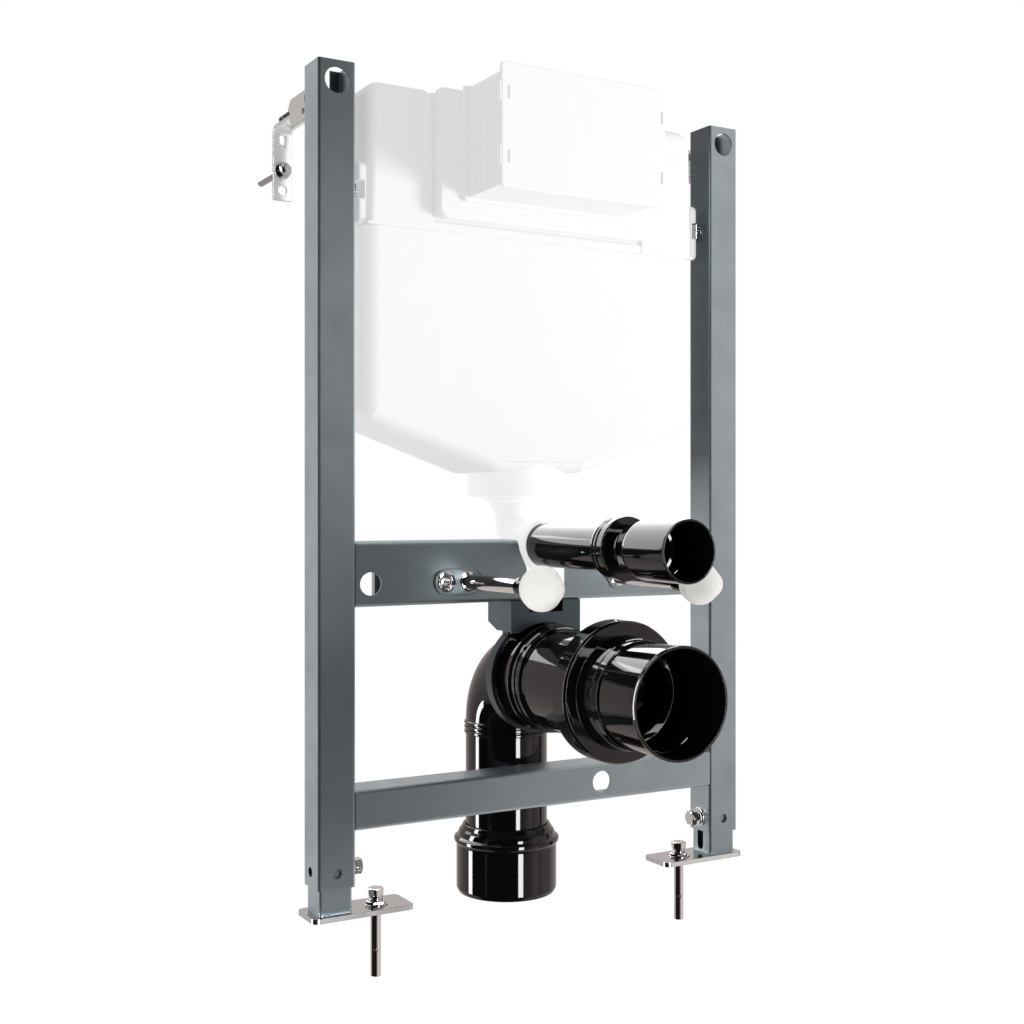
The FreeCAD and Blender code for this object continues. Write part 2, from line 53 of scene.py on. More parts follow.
# Design millimetres (X across, Y to the wall from the posts' front, Z from the foot plates) to the row frame in metres.
ORG = Vector((-231.0, 148.0, 720.0))


def M(x, y, z):
    return Vector(((x - ORG.x) / 1000.0, (y - ORG.y) / 1000.0, (z - ORG.z) / 1000.0))


# ---------------------------------------------------------------- camera
cam_data = bpy.data.cameras.new("camera")
cam = bpy.data.objects.new("camera", cam_data)
bpy.context.scene.collection.objects.link(cam)
cam_data.sensor_width = 36.0
cam_data.lens = 48.2
cam_data.shift_y = -0.00503
cam_data.clip_start = 0.05
cam_data.clip_end = 50.0
cam.location = M(-736.3, -1200.9, 390.3)
cam.rotation_euler = (math.radians(90.0), 0.0, math.radians(-30.088))
bpy.context.scene.camera = cam


# ---------------------------------------------------------------- materials
def new_mat(name):
    m = bpy.data.materials.new(name)
    m.use_nodes = True
    nt = m.node_tree
    bsdf = nt.nodes.get("Principled BSDF")
    return m, nt, bsdf


def tex_coord(nt):
    n = nt.nodes.new("ShaderNodeTexCoord")
    return n.outputs["Object"]


def noise(nt, vec, scale, detail=3.0, rough=0.5):
    n = nt.nodes.new("ShaderNodeTexNoise")
    n.inputs["Scale"].default_value = scale
    n.inputs["Detail"].default_value = detail
    n.inputs["Roughness"].default_value = rough
    nt.links.new(vec, n.inputs["Vector"])
    return n.outputs["Fac"]


def ramp(nt, fac, stops):
    n = nt.nodes.new("ShaderNodeValToRGB")
    el = n.color_ramp.elements
    while len(el) > 1:
        el.remove(el[-1])
    for i, (p, c) in enumerate(stops):
        e = el[0] if i == 0 else el.new(p)
        e.position = p
        e.color = c if len(c) == 4 else (c[0], c[1], c[2], 1.0)
    nt.links.new(fac, n.inputs["Fac"])
    return n.outputs["Color"]


def gray(v):
    return (v, v, v, 1.0)


def maprange(nt, fac, a, b, lo=0.0, hi=1.0):
    n = nt.nodes.new("ShaderNodeMapRange")
    n.inputs["From Min"].default_value = lo
    n.inputs["From Max"].default_value = hi
    n.inputs["To Min"].default_value = a
    n.inputs["To Max"].default_value = b
    nt.links.new(fac, n.inputs["Value"])
    return n.outputs["Result"]


def bump(nt, h, strength, dist, normal=None):
    n = nt.nodes.new("ShaderNodeBump")
    n.inputs["Strength"].default_value = strength
    n.inputs["Distance"].default_value = dist
    nt.links.new(h, n.inputs["Height"])
    if normal is not None:
        nt.links.new(normal, n.inputs["Normal"])
    return n.outputs["Normal"]


def mix_add(nt, a, b, op="ADD"):
    n = nt.nodes.new("ShaderNodeMath")
    n.operation = op
    nt.links.new(a, n.inputs[0])
    if hasattr(b, "links") or hasattr(b, "node"):
        nt.links.new(b, n.inputs[1])
    else:
        n.inputs[1].default_value = b
    return n.outputs[0]


def make_plain(name, col, rough, metal=0.0, var=0.06, nscale=60.0, bstr=0.1, bdist=0.0002, spec=0.5, coat=0.0):
    m, nt, b = new_mat(name)
    co = tex_coord(nt)
    f = noise(nt, co, nscale, 4.0)
    lo = tuple(c * (1 - var) for c in col)
    hi = tuple(min(1.0, c * (1 + var)) for c in col)
    c = ramp(nt, f, [(0.3, lo), (0.7, hi)])
    nt.links.new(c, b.inputs["Base Color"])
    f2 = noise(nt, co, nscale * 0.35, 3.0)
    r = maprange(nt, f2, rough * 0.85, min(1.0, rough * 1.15), 0.3, 0.7)
    nt.links.new(r, b.inputs["Roughness"])
    b.inputs["Metallic"].default_value = metal
    b.inputs["Specular IOR Level"].default_value = spec
    if coat:
        b.inputs["Coat Weight"].default_value = coat
        b.inputs["Coat Roughness"].default_value = 0.03
    f3 = noise(nt, co, nscale * 12, 2.0)
    nt.links.new(bump(nt, f3, bstr, bdist), b.inputs["Normal"])
    return m


MAT = {
    "post_paint": make_plain("post_paint", (0.47, 0.566, 0.614), 0.42, 0.92, 0.02, 90.0, 0.1, 0.00004),
    "bracket_paint": make_plain("bracket_paint", (0.13, 0.175, 0.2), 0.40, 0.92, 0.02, 90.0, 0.1, 0.00004),
    "steel": make_plain("steel", (0.50, 0.525, 0.54), 0.16, 1.0, 0.02, 90.0, 0.02, 0.000004),
    "chrome": make_plain("chrome", (0.62, 0.62, 0.62), 0.07, 1.0, 0.02, 90.0, 0.03, 0.000005),
    "zinc": make_plain("zinc", (0.52, 0.54, 0.55), 0.22, 1.0, 0.03, 90.0, 0.05, 0.00001),
    # painted light: a brighter copy of the zinc for the strap's lit faces
    "zinc_plate": make_plain("zinc_plate", (0.80, 0.80, 0.81), 0.30, 0.35, 0.02, 90.0, 0.05, 0.00001),
    "dark_chrome": make_plain("dark_chrome", (0.30, 0.30, 0.30), 0.12, 1.0, 0.02, 90.0, 0.02, 0.000005),
    "dark_steel": make_plain("dark_steel", (0.16, 0.155, 0.15), 0.25, 1.0, 0.05, 90.0, 0.05, 0.00001),
    "black_pipe": make_plain("black_pipe", (0.003, 0.003, 0.0031), 0.045, 0.0, 0.1, 40.0, 0.02, 0.00001, 0.34),
    "rubber": make_plain("rubber", (0.003, 0.003, 0.0033), 0.06, 0.0, 0.1, 40.0, 0.02, 0.00001, 0.34),
    "white_tank": make_plain("white_tank", (0.44, 0.44, 0.44), 0.5, 0.0, 0.008, 40.0, 0.03, 0.00003),
    "white_outlet": make_plain("white_outlet", (0.30, 0.30, 0.30), 0.45, 0.0, 0.008, 40.0, 0.03, 0.00003),
    "white_cap": make_plain("white_cap", (0.80, 0.79, 0.76), 0.5, 0.0, 0.01, 40.0, 0.03, 0.00003),
}

# painted shade: the right post's inner face close beside the cistern is darkened in colour where the cistern shades it;
# the clamp ring is a darker coat
mat = MAT["post_paint"]
nt = mat.node_tree
b = [n for n in nt.nodes if n.type == "BSDF_PRINCIPLED"][0]
src = b.inputs["Base Color"].links[0].from_socket
sep = nt.nodes.new("ShaderNodeSeparateXYZ")
nt.links.new(tex_coord(nt), sep.inputs[0])


def nmath(nt, op, a, b_=None):
    n = nt.nodes.new("ShaderNodeMath")
    n.operation = op
    for k, v in enumerate((a, b_)):
        if v is None:
            continue
        if isinstance(v, (int, float)):
            n.inputs[k].default_value = v
        else:
            nt.links.new(v, n.inputs[k])
    return n.outputs[0]


mid = M(0, 0, 0).x
off = nmath(nt, "ABSOLUTE", nmath(nt, "SUBTRACT", sep.outputs["X"], mid))
# painted shade mask: the right post's inner face, fading in above z 350 to 450, mixed towards the near-black shade
# colour below
inner_shade = nmath(nt, "MULTIPLY", maprange(nt, off, 1.0, 0.0, 0.2121, 0.2126), nmath(nt, "GREATER_THAN", sep.outputs["X"], mid))
low_end = maprange(nt, sep.outputs["Z"], 0.0, 1.0, M(0, 0, 350).z, M(0, 0, 450).z)
fac = nmath(nt, "MULTIPLY", nmath(nt, "MULTIPLY", inner_shade, low_end), 0.82)
mx = nt.nodes.new("ShaderNodeMix")
mx.data_type = "RGBA"
nt.links.new(fac, mx.inputs[0])
nt.links.new(src, mx.inputs[6])
mx.inputs[7].default_value = (0.035, 0.042, 0.046, 1)
# painted light and shade on the coat's front faces: each post lighter and darker in its height, the rails across the
# frame
gn = nt.nodes.new("ShaderNodeNewGeometry")
gs = nt.nodes.new("ShaderNodeSeparateXYZ")
nt.links.new(gn.outputs["Normal"], gs.inputs[0])
facing = maprange(nt, gs.outputs["Y"], 1.0, 0.0, -0.95, -0.6)
up = maprange(nt, sep.outputs["Z"], 0.0, 1.0, M(0, 0, 0).z, M(0, 0, 820).z)


def painted_shading_ramp(fac, pts):
    return ramp(nt, fac, [(p_, gray(v_ / 1.5)) for p_, v_ in pts])


# painted light and shade along the left post's height: painted shadows of the pan connector low down and of the
# cistern's cover at the top, lighter on the leg below the post
left_post_painted_shading = painted_shading_ramp(up, [(0.0, 1.13), (0.0355, 1.13), (0.0362, 0.95), (0.047, 0.93), (0.14, 0.62), (0.254, 0.60), (0.368, 0.90), (0.484, 1.17), (0.60, 1.22), (0.713, 1.24), (0.828, 1.08), (0.932, 0.76), (1.0, 0.72)])
# painted light: the right post grows lighter towards its top
right_post_painted_shading = painted_shading_ramp(up, [(0.0, 0.88), (0.146, 1.0), (0.282, 1.06), (0.417, 1.10), (0.688, 1.18), (0.932, 1.25)])
# painted light and shade: the rails darker towards the left, where less light falls and the pipes shade them
across = maprange(nt, sep.outputs["X"], 0.0, 1.0, M(-212, 0, 0).x, M(212, 0, 0).x)
rail_painted_shading = painted_shading_ramp(across, [(0.0, 0.74), (0.2, 0.80), (0.45, 0.97), (0.7, 1.0), (1.0, 1.04)])
is_left = nmath(nt, "LESS_THAN", sep.outputs["X"], M(-211.9, 0, 0).x)
is_right = nmath(nt, "GREATER_THAN", sep.outputs["X"], M(211.9, 0, 0).x)


def mix_col(f, a, c_):
    n = nt.nodes.new("ShaderNodeMix")
    n.data_type = "RGBA"
    nt.links.new(f, n.inputs[0])
    nt.links.new(a, n.inputs[6])
    nt.links.new(c_, n.inputs[7])
    return n.outputs[2]


painted_shading = mix_col(is_right, mix_col(is_left, rail_painted_shading, left_post_painted_shading), right_post_painted_shading)
deep_shade = maprange(nt, sep.outputs["Y"], 0.0, 1.0, M(0, 8, 0).y, M(0, 12, 0).y)      # painted shade: faces deep inside the open sections are darkened in colour
painted_shading = mix_col(deep_shade, painted_shading, painted_shading_ramp(up, [(0.0, 0.16), (1.0, 0.20)]))
scl = nt.nodes.new("ShaderNodeVectorMath")
scl.operation = "SCALE"
scl.inputs[3].default_value = 1.5
nt.links.new(painted_shading, scl.inputs[0])
mul = nt.nodes.new("ShaderNodeVectorMath")
mul.operation = "MULTIPLY"
nt.links.new(mx.outputs[2], mul.inputs[0])
nt.links.new(scl.outputs[0], mul.inputs[1])
nt.links.new(mix_col(facing, mx.outputs[2], mul.outputs[0]), b.inputs["Base Color"])
MAT["ring_paint"] = make_plain("ring_paint", (0.075, 0.098, 0.11), 0.40, 0.92, 0.02, 90.0, 0.1, 0.00004)

b = [n for n in MAT["white_tank"].node_tree.nodes if n.type == "BSDF_PRINCIPLED"][0]
b.inputs["Emission Color"].default_value = (1, 1, 1, 1)      # painted light: the white plastic glows so its shade stays light and even
b.inputs["Emission Strength"].default_value = 0.32
# painted light: the outlet housing and flush elbow glow so they show nearly white without shade
b = [n for n in MAT["white_outlet"].node_tree.nodes if n.type == "BSDF_PRINCIPLED"][0]
b.inputs["Emission Color"].default_value = (1, 1, 1, 1)
b.inputs["Emission Strength"].default_value = 0.62
# painted light: the stud caps glow a little to lighten their shade
b = [n for n in MAT["white_cap"].node_tree.nodes if n.type == "BSDF_PRINCIPLED"][0]
b.inputs["Emission Color"].default_value = (1.0, 0.99, 0.96, 1)
b.inputs["Emission Strength"].default_value = 0.17

SLOT_OF = {k: k for k in MAT}
SLOT_OF.update({"ring_paint": "bracket_paint", "white_outlet": "white_tank", "zinc": "steel", "zinc_plate": "chrome", "dark_steel": "steel", "dark_chrome": "chrome"})
slots = {d["node"]: d["material_slot"] for d in frame["record"]["subparts"]}
for n, o in NODES.items():
    o.data.materials.clear()
    o.data.materials.append(MAT["ring_paint" if n == "waste_clamp_ring" else slots[n]])

# ---------------------------------------------------------------- mesh making
SEG = 144


def link_mesh(name, verts, faces, mat, body, nodes=(), angle=32.0):
    """Closed mesh given in design millimetres, shaded smooth below that angle."""
    me = bpy.data.meshes.new(name)
    me.from_pydata([tuple(M(*v)) for v in verts], [], faces)
    bm = bmesh.new()
    bm.from_mesh(me)
    bmesh.ops.remove_doubles(bm, verts=bm.verts, dist=1e-7)
    bmesh.ops.recalc_face_normals(bm, faces=bm.faces)
    bm.to_mesh(me)
    bm.free()
    return finish_mesh(name, me, mat, body, nodes, angle)


def flat_caps(me):
    """Flat end faces stay flat: their outline is a sharp edge."""
    edges = {tuple(sorted(e.vertices)): e.index for e in me.edges}
    at = me.attributes.get("sharp_edge") or me.attributes.new("sharp_edge", "BOOLEAN", "EDGE")
    for p in me.polygons:
        if len(p.vertices) > 6:
            for k in p.edge_keys:
                at.data[edges[tuple(sorted(k))]].value = True


def finish_mesh(name, me, mat, body, nodes=(), angle=32.0):
    for p in me.polygons:
        p.use_smooth = True
    me.set_sharp_from_angle(angle=math.radians(angle))
    flat_caps(me)
    o = bpy.data.objects.new(name, me)
    bpy.context.scene.collection.objects.link(o)
    me.materials.append(MAT[mat])
    if body:
        wn = o.modifiers.new("wn", "WEIGHTED_NORMAL")
        wn.keep_sharp = True
    if body:
        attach(o, body)
        if nodes:
            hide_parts(*nodes)
    return o


def rounded(pts, closed=True, n=5):
    """Polyline of (a, b) or (a, b, r): corners with r become arcs."""
    out = []
    k = len(pts)
    for i, p in enumerate(pts):
        r = p[2] if len(p) > 2 else 0.0
        if r <= 0 or (not closed and i in (0, k - 1)):
            out.append((p[0], p[1]))
            continue
        a = Vector(pts[i - 1][:2]); b = Vector(p[:2]); c = Vector(pts[(i + 1) % k][:2])
        u = (a - b); v = (c - b)
        lu, lv = u.length, v.length
        u.normalize(); v.normalize()
        cosang = max(-1.0, min(1.0, u.dot(v)))
        ang = math.acos(cosang)
        if ang > math.radians(178) or ang < math.radians(2):
            out.append((p[0], p[1]))
            continue
        d = min(r / math.tan(ang / 2), lu * 0.49, lv * 0.49)
        rr = d * math.tan(ang / 2)
        p0 = b + u * d
        p1 = b + v * d
        m = (u + v).normalized()
        cen = b + m * (rr / math.sin(ang / 2))
        a0 = math.atan2(p0.y - cen.y, p0.x - cen.x)
        a1 = math.atan2(p1.y - cen.y, p1.x - cen.x)
        da = (a1 - a0 + math.pi) % (2 * math.pi) - math.pi
        steps = max(2, int(math.ceil(abs(math.degrees(da)) / (90.0 / n))))
        for s in range(steps + 1):
            t = a0 + da * s / steps
            out.append((cen.x + rr * math.cos(t), cen.y + rr * math.sin(t)))
    return out


def dense(pts, step, lo=None, hi=None):
    """Extra points on long runs of a (t, r) profile between t = lo and hi."""
    out = []
    k = len(pts)
    for i in range(k):
        a = pts[i]; b = pts[(i + 1) % k]
        out.append(a)
        n = 1
        if lo is None or (max(a[0], b[0]) > lo and min(a[0], b[0]) < hi):
            n = max(1, int(math.ceil(abs(b[0] - a[0]) / step)))
        for s in range(1, n):
            f = s / n
            out.append((a[0] + (b[0] - a[0]) * f, a[1] + (b[1] - a[1]) * f))
    return out


def line_y(xc, zc):
    return lambda t: (Vector((xc, t, zc)), Vector((1, 0, 0)), Vector((0, 0, 1)))


def line_z(xc, yc):
    return lambda t: (Vector((xc, yc, t)), Vector((1, 0, 0)), Vector((0, -1, 0)))


def line_x(yc, zc):
    return lambda t: (Vector((t, yc, zc)), Vector((0, 1, 0)), Vector((0, 0, 1)))


def bend_path(y0, z0, R, turn):
    """Along +Y to (y0, z0), a quarter turn of radius R up (+1) or down (-1), then straight. t = y before the bend."""
    L = R * math.pi / 2

    def f(t):
        if t <= y0:
            return Vector((0, t, z0)), Vector((1, 0, 0)), Vector((0, 0, 1))
        if t <= y0 + L:
            a = (t - y0) / R
            c = Vector((0, y0 + R * math.sin(a), z0 + turn * R * (1 - math.cos(a))))
            return c, Vector((1, 0, 0)), Vector((0, -turn * math.sin(a), math.cos(a)))
        s = t - y0 - L
        return Vector((0, y0 + R, z0 + turn * (R + s))), Vector((1, 0, 0)), Vector((0, -turn, 0))
    return f


def turned(name, prof, path, mat, body="frame", nodes=(), seg=None, closed=True, angle=32.0, wob=0.0):
    """Solid turned about a path from a closed (t, r) outline; points with r = 0 close on the axis."""
    seg = seg or SEG
    verts, faces, rings = [], [], []
    for t, r in prof:
        c, e1, e2 = path(t)
        if r < 1e-6:
            rings.append([len(verts)])
            verts.append(tuple(c))
            continue
        ids = []
        for k in range(seg):
            a = 2 * math.pi * k / seg
            q = c + e1 * (r * math.cos(a)) + e2 * (r * math.sin(a))
            ids.append(len(verts))
            verts.append(tuple(q))
        rings.append(ids)
    n = len(rings)
    for i in range(n if closed else n - 1):
        A, B = rings[i], rings[(i + 1) % n]
        if len(A) == 1 and len(B) == 1:
            continue
        for k in range(seg):
            k2 = (k + 1) % seg
            if len(A) == 1:
                faces.append((A[0], B[k], B[k2]))
            elif len(B) == 1:
                faces.append((A[k], A[k2], B[0]))
            else:
                faces.append((A[k], A[k2], B[k2], B[k]))
    return link_mesh(name, verts, faces, mat, body, nodes, angle)


def slab_data(outline, stations, axis="y"):
    """Closed outline of (a, b) or (a, b, scale of the edge that starts here), swept along axis through (pos, inset)."""
    pts = [Vector(p[:2]) for p in outline]
    sc = [p[2] if len(p) > 2 else 1.0 for p in outline]
    k = len(pts)
    area2 = sum(pts[i].x * pts[(i + 1) % k].y - pts[(i + 1) % k].x * pts[i].y for i in range(k))
    sign = 1.0 if area2 > 0 else -1.0
    offs = []
    for i in range(k):
        e0 = (pts[i] - pts[i - 1]).normalized()
        e1 = (pts[(i + 1) % k] - pts[i]).normalized()
        n0 = Vector((-e0.y, e0.x)) * sign
        n1 = Vector((-e1.y, e1.x)) * sign
        s0, s1 = sc[i - 1], sc[i]
        det = n0.x * n1.y - n0.y * n1.x
        if abs(det) < 0.3:
            nn = (n0 + n1).normalized()
            offs.append(nn * ((s0 + s1) / 2 / max(0.5, nn.dot(n0))))
        else:
            offs.append(Vector(((s0 * n1.y - s1 * n0.y) / det, (n0.x * s1 - n1.x * s0) / det)))
    verts, faces = [], []
    for pos, d in stations:
        for p, o in zip(pts, offs):
            q = p + o * d
            verts.append({"y": (q.x, pos, q.y), "z": (q.x, q.y, pos), "x": (pos, q.x, q.y)}[axis])
    m = len(stations)
    for s in range(m - 1):
        for i in range(k):
            j = (i + 1) % k
            faces.append((s * k + i, s * k + j, (s + 1) * k + j, (s + 1) * k + i))
    faces.append(tuple(range(k)))
    faces.append(tuple((m - 1) * k + i for i in range(k)))
    return verts, faces


def edge_stations(a, b, ra, rb, n=5):
    """Rounded ends for a slab from a to b."""
    out = []
    for i in range(n + 1):
        t = math.pi / 2 * i / n
        out.append((a + ra * (1 - math.sin(t)), ra * (1 - math.cos(t))))
    out = out[::-1] if False else sorted(out, key=lambda v: v[0])
    st = [(a + ra * (1 - math.cos(math.pi / 2 * i / n)), ra * (1 - math.sin(math.pi / 2 * i / n))) for i in range(n + 1)]
    st += [(b - rb * (1 - math.sin(math.pi / 2 * i / n)), rb * (1 - math.cos(math.pi / 2 * i / n))) for i in range(n + 1)]
    return st


def slab(name, outline, stations, mat, body="frame", nodes=(), axis="y", angle=32.0):
    v, f = slab_data(outline, stations, axis)
    return link_mesh(name, v, f, mat, body, nodes, angle)


def rect(x0, x1, z0, z1, r=0.0, n=5):
    return rounded([(x0, z0, r), (x1, z0, r), (x1, z1, r), (x0, z1, r)], True, n)


def cut(o, cutters, op="DIFFERENCE", angle=32.0):
    """Boolean with helper solids, made real at once."""
    had = [m_ for m_ in o.modifiers]
    for m_ in had:
        o.modifiers.remove(m_)
    for c in cutters:
        m = o.modifiers.new("b", "BOOLEAN")
        m.operation = op
        m.solver = "EXACT"
        m.object = c
    bpy.context.view_layer.update()
    dg = bpy.context.evaluated_depsgraph_get()
    me = bpy.data.meshes.new_from_object(o.evaluated_get(dg))
    o.modifiers.clear()
    old = o.data
    o.data = me
    me.name = old.name + "_m"
    bpy.data.meshes.remove(old)
    for p in me.polygons:
        p.use_smooth = True
    me.set_sharp_from_angle(angle=math.radians(angle))
    flat_caps(me)
    wn = o.modifiers.new("wn", "WEIGHTED_NORMAL")
    wn.keep_sharp = True
    for c in cutters:
        d = c.data
        bpy.data.objects.remove(c)
        bpy.data.meshes.remove(d)
    return o


def swept(name, section, path, ts, mat, body="frame", nodes=(), angle=32.0):
    """Closed convex section (a along e1, b along e2) carried along a path."""
    verts, faces = [], []
    k = len(section)
    for t in ts:
        c, e1, e2 = path(t)
        for a, b in section:
            verts.append(tuple(c + e1 * a + e2 * b))
    for i in range(len(ts) - 1):
        for j in range(k):
            j2 = (j + 1) % k
            faces.append((i * k + j, i * k + j2, (i + 1) * k + j2, (i + 1) * k + j))
    faces.append(tuple(range(k)))
    faces.append(tuple((len(ts) - 1) * k + j for j in range(k)))
    return link_mesh(name, verts, faces, mat, body, nodes, angle)


def tool_slab(outline, stations, axis="y"):
    v, f = slab_data(outline, stations, axis)
    return link_mesh("tool", v, f, "steel", None)


def hex_pts(cx, cy, af, a0=0.0):
    r = af / math.sqrt(3.0)
    return [(cx + r * math.cos(math.radians(60 * i + a0)), cy + r * math.sin(math.radians(60 * i + a0))) for i in range(6)]


def hex_nut(name, c, axis, t0, t1, af, mat, body="frame", nodes=(), a0=0.0, hole=0.0, cham=(True, True), edge=0.25):
    """Hexagon with turned chamfers; c holds the two cross coordinates."""
    o2 = rounded([(p[0], p[1], edge * 3) for p in hex_pts(c[0], c[1], af, a0)], True, 4)
    st = edge_stations(t0, t1, edge, edge, 2)
    v, f = slab_data(o2, st, axis)
    o = link_mesh(name, v, f, mat, body, nodes)
    path = {"y": line_y(c[0], c[1]), "z": line_z(c[0], c[1]), "x": line_x(c[0], c[1])}[axis]
    R = af / math.sqrt(3.0)
    h = (R - af / 2) * 0.62
    a = t0 - 0.2 if not cham[0] else t0
    prof = [(t0 - 1, 0.0)]
    prof += [(t0 - 1, R + 1)] if not cham[0] else [(t0 - 1, 0.0), (t0 - 0.0, af * 0.475), (t0 + h, R + 0.15)]
    prof += [(t1 + 1, R + 1)] if not cham[1] else [(t1 - h, R + 0.15), (t1, af * 0.475), (t1 + 1, 0.0)]
    prof += [(t1 + 1, 0.0)]
    clean = []
    for q in prof:
        if not clean or (abs(q[0] - clean[-1][0]) + abs(q[1] - clean[-1][1])) > 1e-6:
            clean.append(q)
    tool = turned("tool", clean, path, "steel", None, seg=72, closed=False)
    cut(o, [tool], "INTERSECT")
    if hole:
        hl = turned("tool", [(t0 - 2, 0.0), (t0 - 2, hole + 0.6), (t0 - 0.01, hole + 0.6), (t0 + 0.6, hole), (t1 - 0.6, hole),
                             (t1 + 0.01, hole + 0.6), (t1 + 2, hole + 0.6), (t1 + 2, 0.0)], path, "steel", None, seg=72, closed=False)
        cut(o, [hl])
    return o


def threaded(name, path, t0, t1, r, pitch, mat, body="frame", nodes=(), depth=None, seg=40, rows=6, lead=1.0):
    """Rod with a real helical V thread, ends chamfered."""
    depth = depth if depth is not None else pitch * 0.55
    n = max(4, int((t1 - t0) / pitch * rows))
    verts, faces = [], []
    for i in range(n + 1):
        t = t0 + (t1 - t0) * i / n
        c, e1, e2 = path(t)
        fade = min(1.0, (t - t0) / lead + 0.0, (t1 - t) / lead)
        for k in range(seg):
            a = 2 * math.pi * k / seg
            ph = (t / pitch - k / seg) % 1.0
            w = abs(ph * 2 - 1)
            w = min(1.0, max(0.0, (w - 0.06) / 0.88))
            rr = r - depth * w - (1 - max(0.0, fade)) * depth * 0.9
            q = c + e1 * (rr * math.cos(a)) + e2 * (rr * math.sin(a))
            verts.append(tuple(q))
    for i in range(n):
        for k in range(seg):
            k2 = (k + 1) % seg
            faces.append((i * seg + k, i * seg + k2, (i + 1) * seg + k2, (i + 1) * seg + k))
    faces.append(tuple(range(seg)))
    faces.append(tuple(n * seg + k for k in range(seg)))
    return link_mesh(name, verts, faces, mat, body, nodes, angle=50)


def join(objs, name):
    """Several pieces made into one mesh."""
    a = objs[0]
    bm = bmesh.new()
    mats = []
    for o in objs:
        tmp = o.data.copy()
        idx = []
        for m_ in o.data.materials:
            if m_ not in mats:
                mats.append(m_)
            idx.append(mats.index(m_))
        for p in tmp.polygons:
            p.material_index = idx[p.material_index]
        bm.from_mesh(tmp)
        bpy.data.meshes.remove(tmp)
    me = a.data
    me.materials.clear()
    for m_ in mats:
        me.materials.append(m_)
    bm.to_mesh(me)
    bm.free()
    return a

# ---------------------------------------------------------------- pipes
WZ, FZ, BY = 216.0, 351.0, 82.0
BR = 54.0
YB = BY - BR
PR = 43.8
L = BR * math.pi / 2
P_W = line_y(0, WZ)
P_F = line_y(0, FZ)
P_D = line_z(0, BY)

# bend: socket, quarter turn, ribs, drop; then back up the inside
zt = WZ - BR
base = YB + L + zt          # t = base - z on the drop
pr = [(9.0, 55.4, 0.6), (18.0, 55.4, 3.0), (24.0, 52.6, 3.0), (28.5, PR, 2.5), (YB + L - 2.0, PR)]
for z in (159.6, 154.6, 149.6):
    t = base - z
    pr += [(t - 1.9, PR, 0.4), (t - 1.2, PR + 1.7, 0.7), (t + 1.2, PR + 1.7, 0.7), (t + 1.9, PR, 0.4)]
pr += [(base - 22.5, PR, 0.6), (base - 22.5, PR - 3.0, 0.6), (YB, PR - 3.0, 2.0), (16.0, PR - 3.0, 1.0), (14.0, 51.0, 0.8), (9.0, 51.0, 0.4)]
prof = dense(rounded(pr, True, 5), 2.0, YB - 0.5, YB + L + 0.5)
turned("bend_pipe", prof, bend_path(YB, WZ, BR, -1), "black_pipe", nodes=("waste_bend",))

pr = [(50.4, PR + 0.3, 0.5), (51.0, 46.4, 1.2), (46.5, 48.9, 2.0), (44.0, 51.0, 1.4), (41.2, 52.1, 1.0), (38.6, 52.4, 0.5), (37.6, 54.6, 0.8),
      (36.3, 56.3, 1.2), (33.0, 56.3, 1.3), (30.6, 54.2, 1.2), (28.6, 53.8, 1.0), (-17.0, 53.8, 3.0), (-21.4, 51.6, 1.2), (-21.9, 50.5, 0.3),
      (-20.6, 50.2, 0.3), (20.0, 50.2, 0.8), (22.0, PR + 0.3, 0.5)]
turned("coupling", rounded(pr, True, 6), P_D, "black_pipe", nodes=("waste_coupling",))

pr = [(12.0, 50.6), (-13.0, 50.6), (-13.2, 54.2, 0.6), (-14.2, 55.3, 0.9), (-16.8, 55.3, 1.0), (-18.4, 53.2, 0.6), (-19.4, 52.0, 0.5), (-21.0, 52.0, 0.4),
      (-22.2, 53.5, 0.6), (-24.6, 53.6, 0.8), (-27.2, 52.3, 0.8), (-30.2, 52.0, 0.5), (-31.2, 53.0, 0.4), (-33.2, 53.0, 0.5), (-34.8, 51.8, 0.5), (-36.2, 49.7, 0.8),
      (-44.8, 49.7, 0.8), (-46.4, 50.6, 0.5), (-101.5, 50.5, 0.3), (-102.3, 50.0, 0.3), (-103.1, 50.5, 0.3), (-116.0, 50.5, 0.3), (-116.0, 46.5, 0.3), (12.0, 46.5)]
turned("connector_body", rounded(pr, True, 5), P_W, "black_pipe", nodes=("pan_connector_body",))

pr = [(-116.4, 46.8), (-116.4, 51.5, 0.4), (-117.0, 65.2, 1.0), (-119.4, 67.4, 1.0), (-138.8, 67.4, 1.4), (-141.2, 65.6, 0.7), (-141.2, 54.2, 0.35),
      (-160.5, 52.2, 0.3), (-162.0, 51.7, 0.3), (-169.8, 51.2, 0.7), (-170.6, 49.9, 0.3), (-150.0, 49.8), (-150.0, 46.8)]
turned("connector_flange", rounded(pr, True, 6), P_W, "rubber", nodes=("pan_connector_seal",))

pr = [(-150.4, 41.6), (-150.4, 49.4), (-170.0, 49.4, 2.0), (-225.0, 51.2, 3.0), (-227.4, 51.8, 0.9), (-229.4, 51.4, 0.7), (-229.4, 49.3, 0.6), (-228.0, 48.8, 0.5),
      (-196.3, 48.8, 0.2), (-196.0, 48.3, 0.2), (-178.2, 48.3, 0.2), (-177.9, 47.9, 0.15), (-153.0, 47.9, 0.5), (-152.0, 41.6)]
turned("connector_sleeve", rounded(pr, True, 6), P_W, "black_pipe", nodes=("pan_connector_sleeve",))

